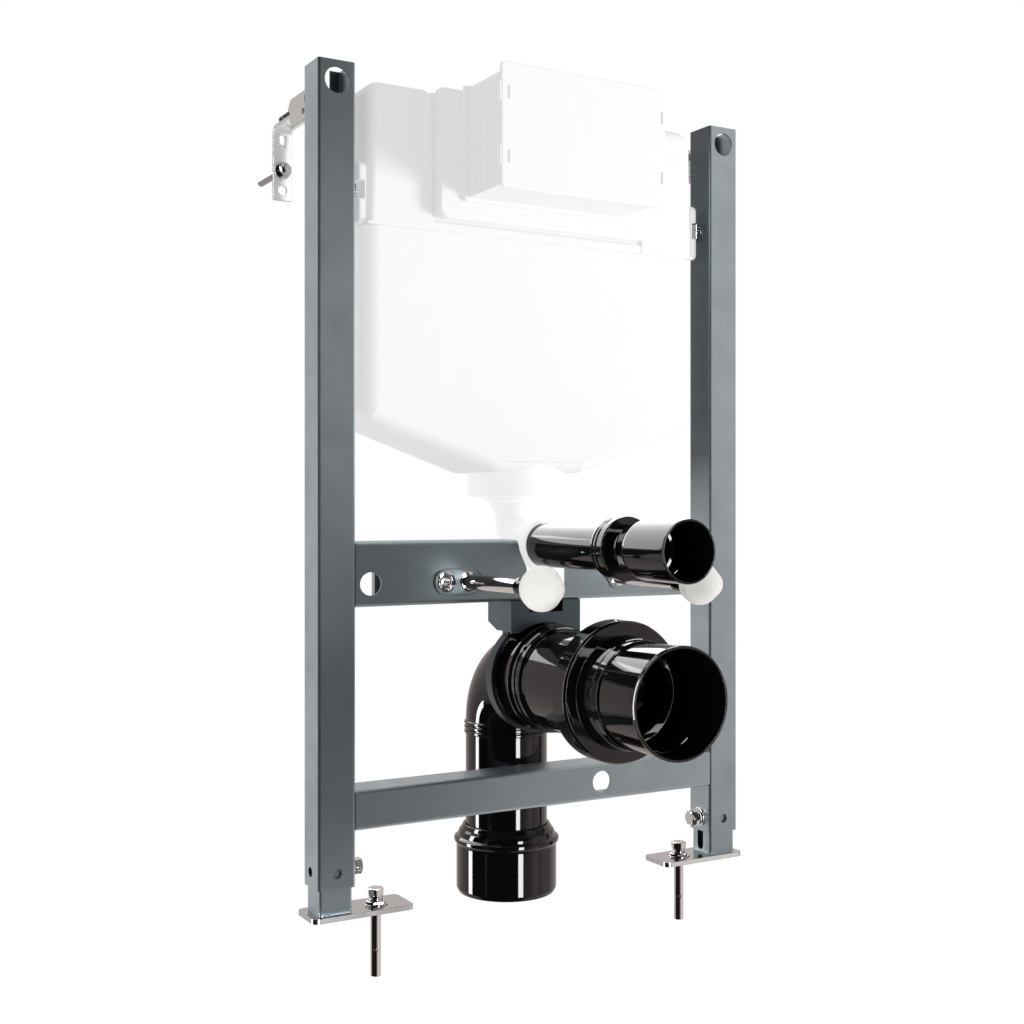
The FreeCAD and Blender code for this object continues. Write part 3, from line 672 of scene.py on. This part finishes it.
# flush pipe
turned("flush_tube", rounded([(-150.0, 20.0), (-150.0, 22.5, 0.4), (19.6, 22.5, 0.4), (19.6, 20.0)], True, 4), P_F, "black_pipe", nodes=("flush_pipe",))
pr = [(-126.0, 22.6), (-126.0, 29.2, 0.7), (-128.9, 29.8, 0.7), (-129.5, 28.5, 0.4), (-131.3, 28.5, 0.4), (-131.9, 30.0, 0.7), (-134.9, 30.0, 0.7), (-135.5, 28.6, 0.4),
      (-137.3, 28.6, 0.4), (-137.9, 30.2, 0.7), (-145.8, 30.4, 0.8), (-146.7, 29.6, 0.5), (-146.7, 22.6)]
turned("flush_gasket", rounded(pr, True, 5), P_F, "rubber", nodes=("flush_seal",))
pr = [(-147.1, 22.55), (-147.1, 23.1), (-160.0, 23.2, 14.0), (-179.0, 28.15, 8.0), (-238.6, 28.9, 0.9), (-240.5, 28.7, 0.8), (-240.6, 27.2, 0.7), (-239.4, 26.4, 0.5),
      (-206.4, 26.4, 0.3), (-206.0, 25.8, 0.2), (-199.2, 25.8, 0.3), (-198.8, 25.1, 0.2), (-184.0, 25.1, 0.6), (-183.0, 22.55)]
turned("flush_end", rounded(pr, True, 6), P_F, "black_pipe", nodes=("flush_socket",))
EY, EB = 60.6, 30.0
YE = EY - EB
LE = EB * math.pi / 2
eb = YE + LE - (FZ + EB)       # t = z + eb on the riser
pr = [(2.0, 22.8), (2.0, 25.6, 0.9), (3.2, 26.4, 0.8), (14.2, 26.4, 1.0), (15.4, 24.2, 0.8), (18.0, 22.7, 2.0), (YE, 22.6)]
pr += [(YE + LE, 22.6), (eb + 383.0, 22.8, 3.0), (eb + 386.0, 25.0, 2.0), (eb + 395.4, 29.0, 2.5), (eb + 397.0, 32.5, 1.0), (eb + 398.2, 34.0, 0.4), (eb + 398.2, 19.6)]
pr += [(20.0, 19.6, 0.4), (20.0, 22.8, 0.3)]
prof = dense(rounded(pr, True, 5), 1.5, YE - 0.5, YE + LE + 0.5)
turned("elbow_white", prof, bend_path(YE, FZ, EB, +1), "white_outlet", nodes=("flush_elbow",))

# ---------------------------------------------------------------- cistern
F0, B0 = 8.5, 112.7
SM = 662.8
out = rounded([(-198.0, SM, 0.0), (-198.0, 477.5, 15.0), (-52.0, 426.0, 5.0), (52.0, 426.0, 5.0), (198.0, 477.5, 15.0), (198.0, SM, 0.0)], True, 8)
k = len(out)
nxt = [out[(i + 1) % k] for i in range(k)]
out = [(p[0], p[1], 0.03 if (abs(p[1] - SM) < 1e-6 and abs(q[1] - SM) < 1e-6) else (1.0 if abs(p[0] - q[0]) < 0.5 * abs(p[1] - q[1]) else 0.72)) for p, q in zip(out, nxt)]
st = edge_stations(F0, B0, 15.0, 12.0, 10)
half = [q for q in st if q[0] < 50]
rest = [q for q in st if q[0] > 70]
st = half + [(59.7, 0.0), (60.0, 0.25), (60.15, 0.9), (61.05, 0.9), (61.2, 0.25), (61.5, 0.0)] + rest
slab("tank_shells", out, st, "white_tank", nodes=("cistern_tank",), angle=40)

# valve housing under the tank, flaring into the sloping underside
pr = [(400.6, 0.0), (400.6, 48.6, 2.6), (404.0, 52.0, 3.2), (430.0, 52.0, 8.0), (441.0, 50.6, 8.0), (452.0, 46.0), (452.0, 0.0)]
o = turned("valve_housing", [(t, r) for t, r in rounded(pr, False, 6)], line_z(0, EY), "white_outlet", nodes=("cistern_outlet",), closed=False, seg=160)
turned("housing_collar", rounded([(397.9, 30.0), (397.9, 36.8, 0.7), (400.8, 38.0, 0.7), (400.8, 30.0)], True, 4), line_z(0, EY), "white_outlet")

# upper shell: two lobes in front of a middle part
zt0, zt1 = 666.0, 804.0
lob = rounded([(-196.0, zt0 - 2.9, 3.0), (-124.6, zt0 - 2.9, 1.2), (-124.6, zt1, 9.0), (-196.0, zt1, 17.0)], True, 7)
stl = edge_stations(F0, B0, 14.0, 10.0, 10)
for side, sg in (("left", 1), ("right", -1)):
    kk = len(lob)
    oo = []
    for i, q0 in enumerate(lob):
        q1 = lob[(i + 1) % kk]
        mx, mz = (q0[0] + q1[0]) / 2, (q0[1] + q1[1]) / 2
        sc_ = 1.0
        if mz < 668.0:
            sc_ = 0.03
        elif mx > -127.0:
            sc_ = 0.26
        oo.append((q0[0] * sg, q0[1], sc_))
    if sg < 0:
        # reversed order: the scale belongs to the edge that starts at a point
        sc_list = [q[2] for q in oo]
        rev = [(q[0], q[1]) for q in oo][::-1]
        sc_rev = [sc_list[(kk - 2 - i) % kk] for i in range(kk)]
        oo = [(q[0], q[1], c_) for q, c_ in zip(rev, sc_rev)]
    slab(side + "_lobe", oo, stl, "white_tank", nodes=("cistern_shell",) if side == "left" else (), angle=40)
slab("shell_middle", rect(-126.2, 126.2, SM + 0.5, 800.0, 0.0), edge_stations(F0 + 3.2, B0 - 1.0, 0.8, 3.0, 3), "white_tank")
slab("shell_skirting", rect(-184.0, 184.0, SM - 3.0, 672.0, 0.0), edge_stations(F0 + 0.7, B0 - 1.0, 0.2, 0.2, 2), "white_tank")
# skirts with the clip recess, one each side
for side, sg in (("left", -1), ("right", 1)):
    xa, xb = sorted((sg * 195.0, sg * 203.5))
    ol = rounded([(F0 + 4.0, 664.5, 5.0), (B0 - 4.0, 664.5, 5.0), (B0 - 4.0, 724.0, 3.0), (F0 + 4.0, 724.0, 7.0)], True, 6)
    o = slab(side + "_skirt", ol, edge_stations(xa, xb, 2.2, 2.2, 4), "white_tank", axis="x")
    t = tool_slab(rect(F0 + 0.0, 34.0, 687.0, 705.5, 0.0), [(min(sg * 197.0, sg * 206.0), 0.0), (max(sg * 197.0, sg * 206.0), 0.0)], "x")
    cut(o, [t])

# access panel with its stepped edge and blanked hole
pn = rounded([(-124.0, 674.5, 10.0), (124.0, 674.5, 10.0), (124.0, 802.0, 3.0), (-124.0, 802.0, 3.0)], True, 8)
st = [(-5.0, 1.6), (-4.85, 1.0), (-4.4, 0.45), (-3.8, 0.12), (-3.2, 0.0), (1.4, 0.0), (1.6, 0.9), (3.4, 0.9), (3.6, 0.0), (6.2, 0.0), (6.4, 1.4), (12.0, 1.4)]
slab("panel_plate", pn, st, "white_tank", nodes=("access_panel",), angle=40)
turned("panel_blank", rounded([(-4.0, 0.0), (-4.0, 8.6), (-5.25, 8.6, 0.35), (-5.7, 8.0, 0.4), (-5.7, 6.9, 0.3), (-5.35, 6.6, 0.3), (-5.35, 0.0)], False, 4), line_y(-111.0, 734.3), "white_tank", closed=False, seg=72)

# shroud: flange, ribbed cheeks, plain top and underside
AC = -3.3
x0, x1 = AC - 92.0, AC + 92.0
z0, z1 = 695.0, 803.5
slab("shroud_flange", rect(x0 - 4.2, x1 + 4.2, z0 - 3.0, z1 + 2.5, 2.0), edge_stations(-9.2, -4.6, 0.9, 0.2, 3), "white_tank", nodes=("access_shroud",))
RB, RPITCH, RDEPTH = 11, 6.15, 1.25
ol = [(x0 + 1.0, -8.5), (x1 - 1.0, -8.5)]
ribs = []
for i in range(RB):
    y = -10.6 - i * RPITCH
    ribs += [(0.0, y), (RDEPTH, y - 0.5), (RDEPTH, y - 3.6), (0.0, y - 4.1)]
right = [(x1 - RDEPTH + d, y) for d, y in ribs]
left = [(x0 + RDEPTH - d, y) for d, y in ribs][::-1]
ol = [(x0 + RDEPTH, -8.5), (x1 - RDEPTH, -8.5)] + right + [(x1 - RDEPTH, -77.2), (x0 + RDEPTH, -77.2)] + left
o = slab("shroud_cheeks", ol, [(z0 + 0.6, 0.25), (z0 + 0.85, 0.0), (z1 - 0.3, 0.0), (z1, 0.25)], "white_tank", axis="z", angle=25)

cv = rect(AC - 95.0, AC + 95.0, 691.7, 810.6, 4.0, 6)
o = slab("cover_plate", cv, edge_stations(-81.0, -76.9, 0.9, 0.4, 4), "white_tank", nodes=("access_cover",))
tools = []
for xa, xb in ((-92.3, -89.6), (85.7, 88.6)):
    for za, zb in ((715.5, 727.4), (776.0, 788.0)):
        tools.append(tool_slab(rect(xa, xb, za, zb, 0.7, 3), [(-82.5, 0.0), (-79.2, 0.0)]))
cut(o, tools)
tabs = []
for za, zb in ((712.6, 731.4), (772.8, 791.6)):
    for xa, xb in ((AC - 96.9, AC - 93.0), (AC + 93.0, AC + 96.9)):
        tabs.append(slab("cover_tab", rect(xa, xb, za, zb, 0.8, 3), edge_stations(-80.5, -74.5, 0.5, 0.3, 3), "white_tank"))
# clips between cistern and posts
for side, sg in (("left", -1), ("right", 1)):
    xa, xb = sorted((sg * 204.0, sg * 211.9))
    ol = rect(xa, xb, 688.0, 704.4, 1.6, 4)
    o = slab(side + "_clip", ol, edge_stations(14.0, 31.0, 0.5, 0.5, 2), "zinc", nodes=("cistern_clips",) if sg < 0 else ())
    t = tool_slab(rect(xa + 1.6, xb - 1.6, 691.0, 701.6, 0.8, 3), [(10.0, 0.0), (17.5, 0.0)])
    cut(o, [t])
    turned(side + "_clip_pin", rounded([(14.5, 0.0), (14.5, 2.6, 0.6), (27.0, 2.6), (27.0, 0.0)], False, 4), line_y(sg * 208.0, 696.3), "steel", closed=False, seg=48)

# ---------------------------------------------------------------- studs, nuts, caps
for sx, side in ((-1, "left"), (1, "right")):
    X = sx * 90.0
    pth = line_y(X, 316.0)
    pr = [(25.8, 0.0), (25.8, 5.2, 0.6), (-0.2, 5.9), (-0.4, 7.3, 0.5), (-103.6, 7.3, 0.8), (-104.1, 5.9), (-127.5, 5.9, 0.5), (-127.5, 0.0)]
    turned(side + "_stud_rod", rounded(pr, False, 4), pth, "chrome", nodes=(side + "_wc_stud",), closed=False, seg=72)
    threaded(side + "_stud_thread", pth, 3.0, 25.9, 5.95, 1.5, "chrome")
    pr = [(-101.6, 7.4), (-101.7, 8.6, 0.4), (-103.0, 9.5, 1.0), (-108.0, 9.8, 3.0), (-121.0, 9.4, 0.3), (-121.0, 7.4)]
    turned(side + "_sleeve_tube", rounded(pr, True, 5), pth, "black_pipe", nodes=(side + "_stud_sleeve",), seg=96)
    pr = [(-122.2, 0.0), (-122.2, 12.8, 1.4), (-129.5, 18.4, 9.0), (-137.0, 21.2, 7.0), (-142.6, 20.9, 5.0), (-160.6, 11.2, 8.0), (-165.2, 7.0, 7.0), (-166.9, 0.9, 0.0), (-167.2, 0.8, 0.1), (-167.2, 0.0)]
    cap = rounded(pr, False, 8)
    turned(side + "_cap_dome", cap, pth, "white_cap", nodes=(side + "_stud_cap",), closed=False, seg=120, angle=50)
for i, X in enumerate((-115.0, -90.0, 90.0, 115.0)):
    pr = [(0.05, 6.0), (-0.9, 6.9, 0.4), (-1.0, 8.2, 0.5), (-0.4, 9.8, 0.5), (0.6, 10.4, 0.4), (1.2, 10.4), (1.2, 8.0), (19.6, 8.0, 0.5), (20.0, 6.4, 0.3)]
    thr = []
    z = 19.6
    while z > 1.6:
        thr += [(z, 6.5), (z - 0.6, 6.0)]
        z -= 1.25
    turned("stud_nut_%d" % (i + 1), rounded(pr, False, 4) + thr + [], line_y(X, 316.0), "chrome", nodes=("stud_nuts",) if i == 0 else (), seg=96)

for side, xa, xb in (("left", -115.0, -90.0), ("right", 90.0, 115.0)):
    ol = rect(xa - 13.4, xb + 13.4, 316.0 - 13.4, 316.0 + 13.4, 13.35, 16)
    o = slab(side + "_nut_boss", ol, [(0.4, 0.0), (-0.05, 0.0), (-0.3, 0.35), (-0.42, 0.9)][::-1], "post_paint", angle=60)
    tls = [turned("tool", [(-2.0, 0.0), (-2.0, 8.4), (2.0, 8.4), (2.0, 0.0)], line_y(x, 316.0), "steel", None, closed=False, seg=72) for x in (xa, xb)]
    cut(o, tls, angle=60)

# ---------------------------------------------------------------- feet and floor anchors
for sx, side in ((-1, "left"), (1, "right")):
    body = side + "_foot"
    fx0, fx1, fy0, fy1 = -256.0, -151.0, 18.25 - 21.5, 18.25 + 21.5
    ol = rect(fx0, fx1, fy0, fy1, 6.0, 5)
    if sx > 0:
        ol = [(-x, y) for x, y in ol][::-1]
    o = slab(side + "_plate", ol, edge_stations(0.0, 5.0, 0.35, 0.35, 3), "steel", body, nodes=(side + "_foot_plate",), axis="z")
    ax = sx * 183.0
    t = turned("tool", [(-1.0, 0.0), (-1.0, 5.4), (6.0, 5.4), (6.0, 0.0)], line_z(ax, 18.25), "steel", None, closed=False, seg=72)
    cut(o, [t])
    pz = line_z(ax, 18.25)
    pr = [(-65.0, 0.0), (-65.0, 5.1, 0.9), (-0.4, 5.1, 0.3), (-0.4, 4.2), (14.0, 4.2), (14.0, 0.0)]
    o = turned(side + "_anchor_sleeve", rounded(pr, False, 5), pz, "chrome", body, nodes=(side + "_floor_anchor",), closed=False, seg=96)
    a = math.radians(-118.0)
    dx, dy = math.cos(a), math.sin(a)
    tl = turned("tool", [(1.0, 0.0), (-0.6, 2.0), (0.0, 2.3), (2.4, 2.3), (2.4, 0.0)],
                (lambda t, ax=ax, dx=dx, dy=dy: (Vector((ax + dx * (4.6 + t), 18.25 + dy * (4.6 + t), -38.5)), Vector((-dy, dx, 0)), Vector((0, 0, 1)))), "steel", None, closed=False, seg=36)
    cut(o, [tl])
    threaded(side + "_anchor_thread", pz, 5.5, 15.0, 4.3, 1.25, "chrome", body)
    hex_nut(side + "_anchor_head", (ax, 18.25), "z", 13.4, 20.5, 14.4, "chrome", body, a0=12.0)
    pr = [(8.2, 4.35), (8.2, 6.9, 0.4), (10.2, 7.0, 0.4), (10.5, 6.3, 0.3), (11.1, 6.3, 0.3), (11.4, 7.0, 0.4), (13.3, 6.8, 0.4), (13.3, 4.35)]
    turned(side + "_anchor_collar", rounded(pr, True, 4), pz, "chrome", body, seg=96)
    turned(side + "_anchor_washer", rounded([(5.05, 4.6, 0.3), (5.05, 12.0, 0.4), (6.0, 12.0, 0.4), (6.0, 4.6, 0.3)], True, 4), pz, "chrome", body, nodes=(side + "_anchor_nut",), seg=96)
    hex_nut(side + "_anchor_hexnut", (ax, 18.25), "z", 6.0, 8.6, 18.6, "chrome", body, a0=-8.0, hole=4.35)
    # lock bolt on the inner side of the post
    px = sx * 212.0
    pxn = line_x(20.0, 44.0)
    s_ = -sx
    xs = lambda d: px + s_ * d
    pr = [(xs(0.05), 4.4), (xs(0.05), 11.0, 0.4), (xs(1.7), 11.0, 0.6), (xs(1.9), 4.4)]
    turned(side + "_lock_washer", rounded(pr, True, 4), pxn, "chrome", nodes=(side + "_leg_lock_bolt",), seg=96)
    a_, b_ = sorted((xs(1.9), xs(6.2)))
    hex_nut(side + "_lock_nut", (20.0, 44.0), "x", a_, b_, 13.0, "chrome", a0=14.0, cham=(s_ < 0, s_ > 0))
    a_, b_ = sorted((xs(6.4), xs(13.4)))
    hex_nut(side + "_lock_head", (20.0, 44.0), "x", a_, b_, 14.4, "chrome", a0=2.0, cham=(s_ < 0, s_ > 0))
    a_, b_ = sorted((xs(-9.0), xs(2.5)))
    turned(side + "_lock_shank", [(a_, 0.0), (a_, 4.0), (b_, 4.0), (b_, 0.0)], pxn, "steel", closed=False, seg=48)
    a_, b_ = sorted((xs(-10.5), xs(-4.8)))
    slab(side + "_lock_block", rect(13.0, 27.0, 37.0, 51.0, 1.0, 3), edge_stations(a_, b_, 0.5, 0.5, 2), "steel", axis="x")

# ---------------------------------------------------------------- wall brackets
for sx, side in ((-1, "left"), (1, "right")):
    X = sx * 231.0
    # arm: folded channel between the post and the strap
    ol = rounded([(36.6, 766.5, 1.0), (90.5, 766.5, 0.8), (90.5, 782.5, 0.8), (96.5, 785.5, 1.2), (88.5, 795.0, 2.5), (36.6, 795.0, 1.0)], True, 5)
    o = slab(side + "_arm", ol, edge_stations(X - 13.0, X + 13.0, 0.7, 0.7, 3), "zinc", nodes=(side + "_bracket_arm",), axis="x")
    ts = [tool_slab(rounded([(39.1, 750.0), (110.0, 750.0), (110.0, 792.4), (39.1, 792.4, 1.5)], True, 4), [(X - 10.6, 0.0), (X + 10.6, 0.0)], "x"),
          tool_slab(rect(40.5, 51.0, 783.0, 790.5, 2.0, 5), [(X - 14.0, 0.0), (X - 9.0, 0.0)], "x"),
          tool_slab(rect(40.5, 57.0, 772.5, 778.0, 1.0, 5), [(X - 14.0, 0.0), (X - 9.0, 0.0)], "x")]
    cut(o, ts)
    # strap: flat along the arm, bent down against the wall, slotted
    w = 9.9
    zt, th, ro, yw = 783.0, 4.0, 9.0, 148.0
    rb = ro - th / 2
    y1_, zc_ = yw - th / 2 - rb, zt - th / 2

    def strap_path(t, X=X):
        if t <= y1_:
            return Vector((X, t, zc_)), Vector((1, 0, 0)), Vector((0, 0, 1))
        a = min((t - y1_) / rb, math.pi / 2)
        c = Vector((X, y1_ + rb * math.sin(a), zc_ - rb * (1 - math.cos(a))))
        c.z -= max(0.0, t - y1_ - rb * math.pi / 2)
        return c, Vector((1, 0, 0)), Vector((0, math.sin(a), math.cos(a)))

    Lb = rb * math.pi / 2
    t_end = y1_ + Lb + (zc_ - rb - 707.0)
    ts_ = [44.0, y1_ - 0.01] + [y1_ + Lb * i / 8 for i in range(9)] + [y1_ + Lb + 0.01, t_end]
    o = swept(side + "_strap", rect(-w, w, -th / 2, th / 2, 0.5, 3), strap_path, ts_, "zinc", nodes=(side + "_wall_plate",))
    ts = [tool_slab(rect(X - 3.6, X + 3.6, 66.0, 126.0, 3.55, 6), [(zt - 8.0, 0.0), (zt + 2.0, 0.0)], "z"),
          tool_slab(rect(X - 3.2, X + 3.2, 764.0, 775.0, 3.15, 6), [(yw - 8.0, 0.0), (yw + 2.0, 0.0)], "y"),
          turned("tool", [(yw - 8.0, 0.0), (yw - 8.0, 4.2), (yw + 2.0, 4.2), (yw + 2.0, 0.0)], line_y(X, 738.0), "steel", None, closed=False, seg=48),
          turned("tool", [(yw - 8.0, 0.0), (yw - 8.0, 5.0), (yw + 2.0, 5.0), (yw + 2.0, 0.0)], line_y(X, 717.5), "steel", None, closed=False, seg=48)]
    cut(o, ts)
    # painted light: the strap's broad faces take a brighter copy of the zinc, its narrow edges and bottom end the
    # darker zinc, as light falls on them
    o.data.materials.clear()
    o.data.materials.append(MAT["zinc_plate"])
    o.data.materials.append(MAT["zinc"])
    zlow = M(0, 0, 708.5).z
    for p_ in o.data.polygons:
        p_.material_index = 1 if abs(p_.normal.x) > 0.7 or (p_.normal.z < -0.7 and p_.center.z < zlow) else 0
    pb = line_y(X, 738.0)
    threaded(side + "_bolt_thread", pb, 130.2, 143.0, 3.9, 1.25, "chrome", nodes=(side + "_wall_bolt",))
    turned(side + "_bolt_shank", rounded([(143.0, 0.0), (143.0, 3.4), (148.3, 3.4), (148.4, 3.95, 0.2), (209.0, 3.95, 2.5), (211.9, 1.6, 1.2), (211.9, 0.0)], False, 5), pb, "dark_chrome", closed=False, seg=64)
    hex_nut(side + "_bolt_nut", (X, 738.0), "y", 136.0, 142.4, 12.6, "chrome", a0=16.0)
    turned(side + "_bolt_washer", rounded([(142.4, 4.0), (142.4, 9.0, 0.5), (143.95, 9.0, 0.5), (143.95, 4.0)], True, 4), pb, "chrome", seg=72)
    ps = line_z(X, 76.0)
    turned(side + "_clamp_screw", rounded([(773.2, 0.0), (773.2, 3.0, 0.4), (783.1, 3.0, 0.2), (783.1, 5.2, 0.4), (785.4, 5.0, 1.2), (786.4, 3.2, 1.0), (786.4, 0.0)], False, 5), ps, "chrome", nodes=(side + "_bracket_screw",), closed=False, seg=64)
    hex_nut(side + "_clamp_nut", (X, 76.0), "z", 774.4, 778.9, 9.8, "chrome", a0=5.0)
    pr_ = line_y(X - 4.5, 786.6)
    threaded(side + "_adjuster_rod", pr_, 95.6, 135.4, 3.6, 1.25, "dark_steel", nodes=(side + "_bracket_rod",), rows=5)

AMBIENT, AMBIENT_DROP, K_ROOM, K_SIDE, K_LOW = 0.84, 0.0, 1.0, 1.15, 0.02
K_LEFT, K_FRONT, K_RIGHT, K_TOP, K_CARD, K_TANK, K_FILL = 26.0, 30.0, 38.0, 4.3, 0.70, 4.2, 0.2
K_GAP, K_UNDER = 13.0, 1.7
# ---------------------------------------------------------------- stage
FLOOR_Z = M(0, 0, -270.0).z          # clear below the feet at the full travel of the legs
me = bpy.data.meshes.new("floor")
bm = bmesh.new()
s = 12.0
vs = [bm.verts.new((x, y, FLOOR_Z)) for x, y in ((-s, -s), (s, -s), (s, s), (-s, s))]
bm.faces.new(vs)
bm.to_mesh(me); bm.free()
floor = bpy.data.objects.new("floor", me)
bpy.context.scene.collection.objects.link(floor)
fm, nt, b = new_mat("floor_mat")
co = tex_coord(nt)
c = ramp(nt, noise(nt, co, 6.0), [(0.3, (0.32, 0.32, 0.32)), (0.7, (0.34, 0.34, 0.34))])
nt.links.new(c, b.inputs["Base Color"])
b.inputs["Roughness"].default_value = 0.9
b.inputs["Specular IOR Level"].default_value = 0.0
b.inputs["Emission Color"].default_value = (1, 1, 1, 1)
b.inputs["Emission Strength"].default_value = 0.75
floor.data.materials.append(fm)
floor.visible_glossy = False
floor.visible_shadow = False

# ---------------------------------------------------------------- light
# White studio: the backdrop is white, what the gloss shows is a warm grey room with tall strips and an overhead box.
w = bpy.data.worlds.new("world")
bpy.context.scene.world = w
w.use_nodes = True
nt = w.node_tree
nt.nodes.clear()
out = nt.nodes.new("ShaderNodeOutputWorld")


def wmath(op, a, b=None, clamp=False):
    n = nt.nodes.new("ShaderNodeMath")
    n.operation = op
    n.use_clamp = clamp
    for k, v in enumerate((a, b)):
        if v is None:
            continue
        if isinstance(v, (int, float)):
            n.inputs[k].default_value = v
        else:
            nt.links.new(v, n.inputs[k])
    return n.outputs[0]


def wstep(x, a, b):
    n = nt.nodes.new("ShaderNodeMapRange")
    n.interpolation_type = "SMOOTHSTEP"
    n.inputs["From Min"].default_value = a
    n.inputs["From Max"].default_value = b
    nt.links.new(x, n.inputs["Value"])
    return n.outputs["Result"]


tc = nt.nodes.new("ShaderNodeTexCoord")
sep = nt.nodes.new("ShaderNodeSeparateXYZ")
nt.links.new(tc.outputs["Generated"], sep.inputs[0])
az = wmath("ARCTAN2", sep.outputs["X"], sep.outputs["Y"])          # 0 towards the wall, positive to the right
# the room that the gloss shows: warm grey at the back and right, dark on the left and in front
back = wmath("MULTIPLY", wstep(az, math.radians(-66), math.radians(-52)), wstep(az, math.radians(75), math.radians(55)))
side = wmath("MULTIPLY", wstep(az, math.radians(55), math.radians(75)), wstep(az, math.radians(162), math.radians(134)))
left = wmath("MULTIPLY", wstep(az, math.radians(-172), math.radians(-165)), wstep(az, math.radians(-52), math.radians(-66)))
room = nt.nodes.new("ShaderNodeBackground")
room.inputs["Color"].default_value = (0.71, 0.63, 0.605, 1)
nt.links.new(wmath("ADD", wmath("ADD", wmath("MULTIPLY", back, K_ROOM), wmath("MULTIPLY", side, K_SIDE)), K_LOW), room.inputs["Strength"])
soft = nt.nodes.new("ShaderNodeBackground")
soft.inputs["Color"].default_value = (1, 1, 1, 1)
nt.links.new(wmath("SUBTRACT", AMBIENT, wmath("MULTIPLY", left, AMBIENT_DROP)), soft.inputs["Strength"])
white = nt.nodes.new("ShaderNodeBackground")
white.inputs["Color"].default_value = (1, 1, 1, 1)
white.inputs["Strength"].default_value = 1.0
lp = nt.nodes.new("ShaderNodeLightPath")
m1 = nt.nodes.new("ShaderNodeMixShader")
nt.links.new(lp.outputs["Is Diffuse Ray"], m1.inputs[0])
nt.links.new(room.outputs[0], m1.inputs[1])
nt.links.new(soft.outputs[0], m1.inputs[2])
m2 = nt.nodes.new("ShaderNodeMixShader")
nt.links.new(lp.outputs["Is Camera Ray"], m2.inputs[0])
nt.links.new(m1.outputs[0], m2.inputs[1])
nt.links.new(white.outputs[0], m2.inputs[2])
nt.links.new(m2.outputs[0], out.inputs["Surface"])


def area(name, loc, target, sx, sy, radiance, glossy=True, diffuse=True, only=None, color=(1, 1, 1)):
    """A soft panel of that radiance; sx runs level, sy upright; only limits what it lights."""
    d = bpy.data.lights.new(name, "AREA")
    d.shape = "RECTANGLE"
    d.size = sx
    d.size_y = sy
    d.energy = radiance * math.pi * sx * sy
    d.color = color
    o = bpy.data.objects.new(name, d)
    bpy.context.scene.collection.objects.link(o)
    o.location = loc
    v = Vector(target) - Vector(loc)
    o.rotation_euler = v.to_track_quat("-Z", "Y").to_euler()
    o.visible_glossy = glossy
    o.visible_diffuse = diffuse
    if only is not None:
        o.light_linking.receiver_collection = only
    return o


C0 = M(0, 82, 200)


def around(azd, dist, z):
    a = math.radians(azd)
    p = C0 + Vector((math.sin(a) * dist, math.cos(a) * dist, 0))
    return Vector((p.x, p.y, M(0, 0, z).z))


gloss_set = bpy.data.collections.new("gloss_set")
for o in bpy.context.scene.objects:
    if o.type == "MESH" and o.data.materials and o.data.materials[0] is not None \
            and o.data.materials[0].name.split(".")[0] not in ("post_paint", "bracket_paint", "ring_paint", "floor_mat", "white_cap"):
        gloss_set.objects.link(o)

dark_set = bpy.data.collections.new("dark_set")      # the matt whites take no strip of light
for o in gloss_set.objects:
    if not o.data.materials[0].name.startswith("white_"):
        dark_set.objects.link(o)
strip_set = bpy.data.collections.new("strip_set")    # nor do the floor anchors, low down in the even light
for o in dark_set.objects:
    if "_anchor" not in o.name:
        strip_set.objects.link(o)
LT = around(-60.0, 5.0, 1400)
area("strip_left", LT, Vector((C0.x, C0.y, LT.z)), 0.98, 7.0, K_LEFT, diffuse=False, only=strip_set)
FT = around(177.0, 5.0, 1400)
area("strip_front", FT, Vector((C0.x, C0.y, FT.z)), 0.98, 7.0, K_FRONT, diffuse=False, only=strip_set)
CF = around(158.0, 5.0, -800)
area("card_front", CF, Vector((C0.x, C0.y, CF.z)), 4.3, 5.0, K_CARD, diffuse=False, only=dark_set, color=(0.71, 0.63, 0.605))
white_set = bpy.data.collections.new("white_set")
pipe_set = bpy.data.collections.new("pipe_set")
top_set = bpy.data.collections.new("top_set")
for o in gloss_set.objects:
    mats = [m_.name for m_ in o.data.materials if m_]
    if mats[0].startswith(("white_tank", "white_outlet")):
        white_set.objects.link(o)
    if o.name.startswith(("flush_", "connector_", "coupling", "bend_pipe")):
        pipe_set.objects.link(o)
    if o.name in dark_set.objects and not o.name.endswith(("_arm", "_strap", "_plate", "_clip")):
        top_set.objects.link(o)
area("panel_right", M(2900, -2000, -300), M(0, 0, 700), 1.1, 1.1, K_RIGHT, glossy=False, only=white_set)
area("panel_left", M(-1700, -1400, 500), M(0, 0, 450), 1.6, 2.4, K_FILL, glossy=False, only=white_set)
area("panel_under", M(0, -800, -2500), M(0, 0, 300), 2.0, 2.0, K_UNDER, glossy=False, only=white_set)
# the cistern's left side stays bright behind the post
side_set = bpy.data.collections.new("side_set")
for o in white_set.objects:
    if o.name.startswith("tank_shells"):
        side_set.objects.link(o)
gap = area("panel_gap", M(-2500, 60, 500), M(0, 60, 500), 0.4, 1.2, K_GAP, glossy=False, only=side_set)
gap.light_linking.blocker_collection = side_set
TT = M(0, 3500, 3650)
area("panel_top", TT, M(0, 0, 400), 5.6, 3.7, K_TOP, diffuse=False, only=top_set)
# the bright front of the cistern as the pipes show it
area("panel_tank", M(0, 6.0, 582), M(0, -1000, 582), 0.39, 0.43, K_TANK, diffuse=False, only=pipe_set)

bpy.context.scene.view_settings.view_transform = "Standard"
bpy.context.scene.view_settings.look = "None"
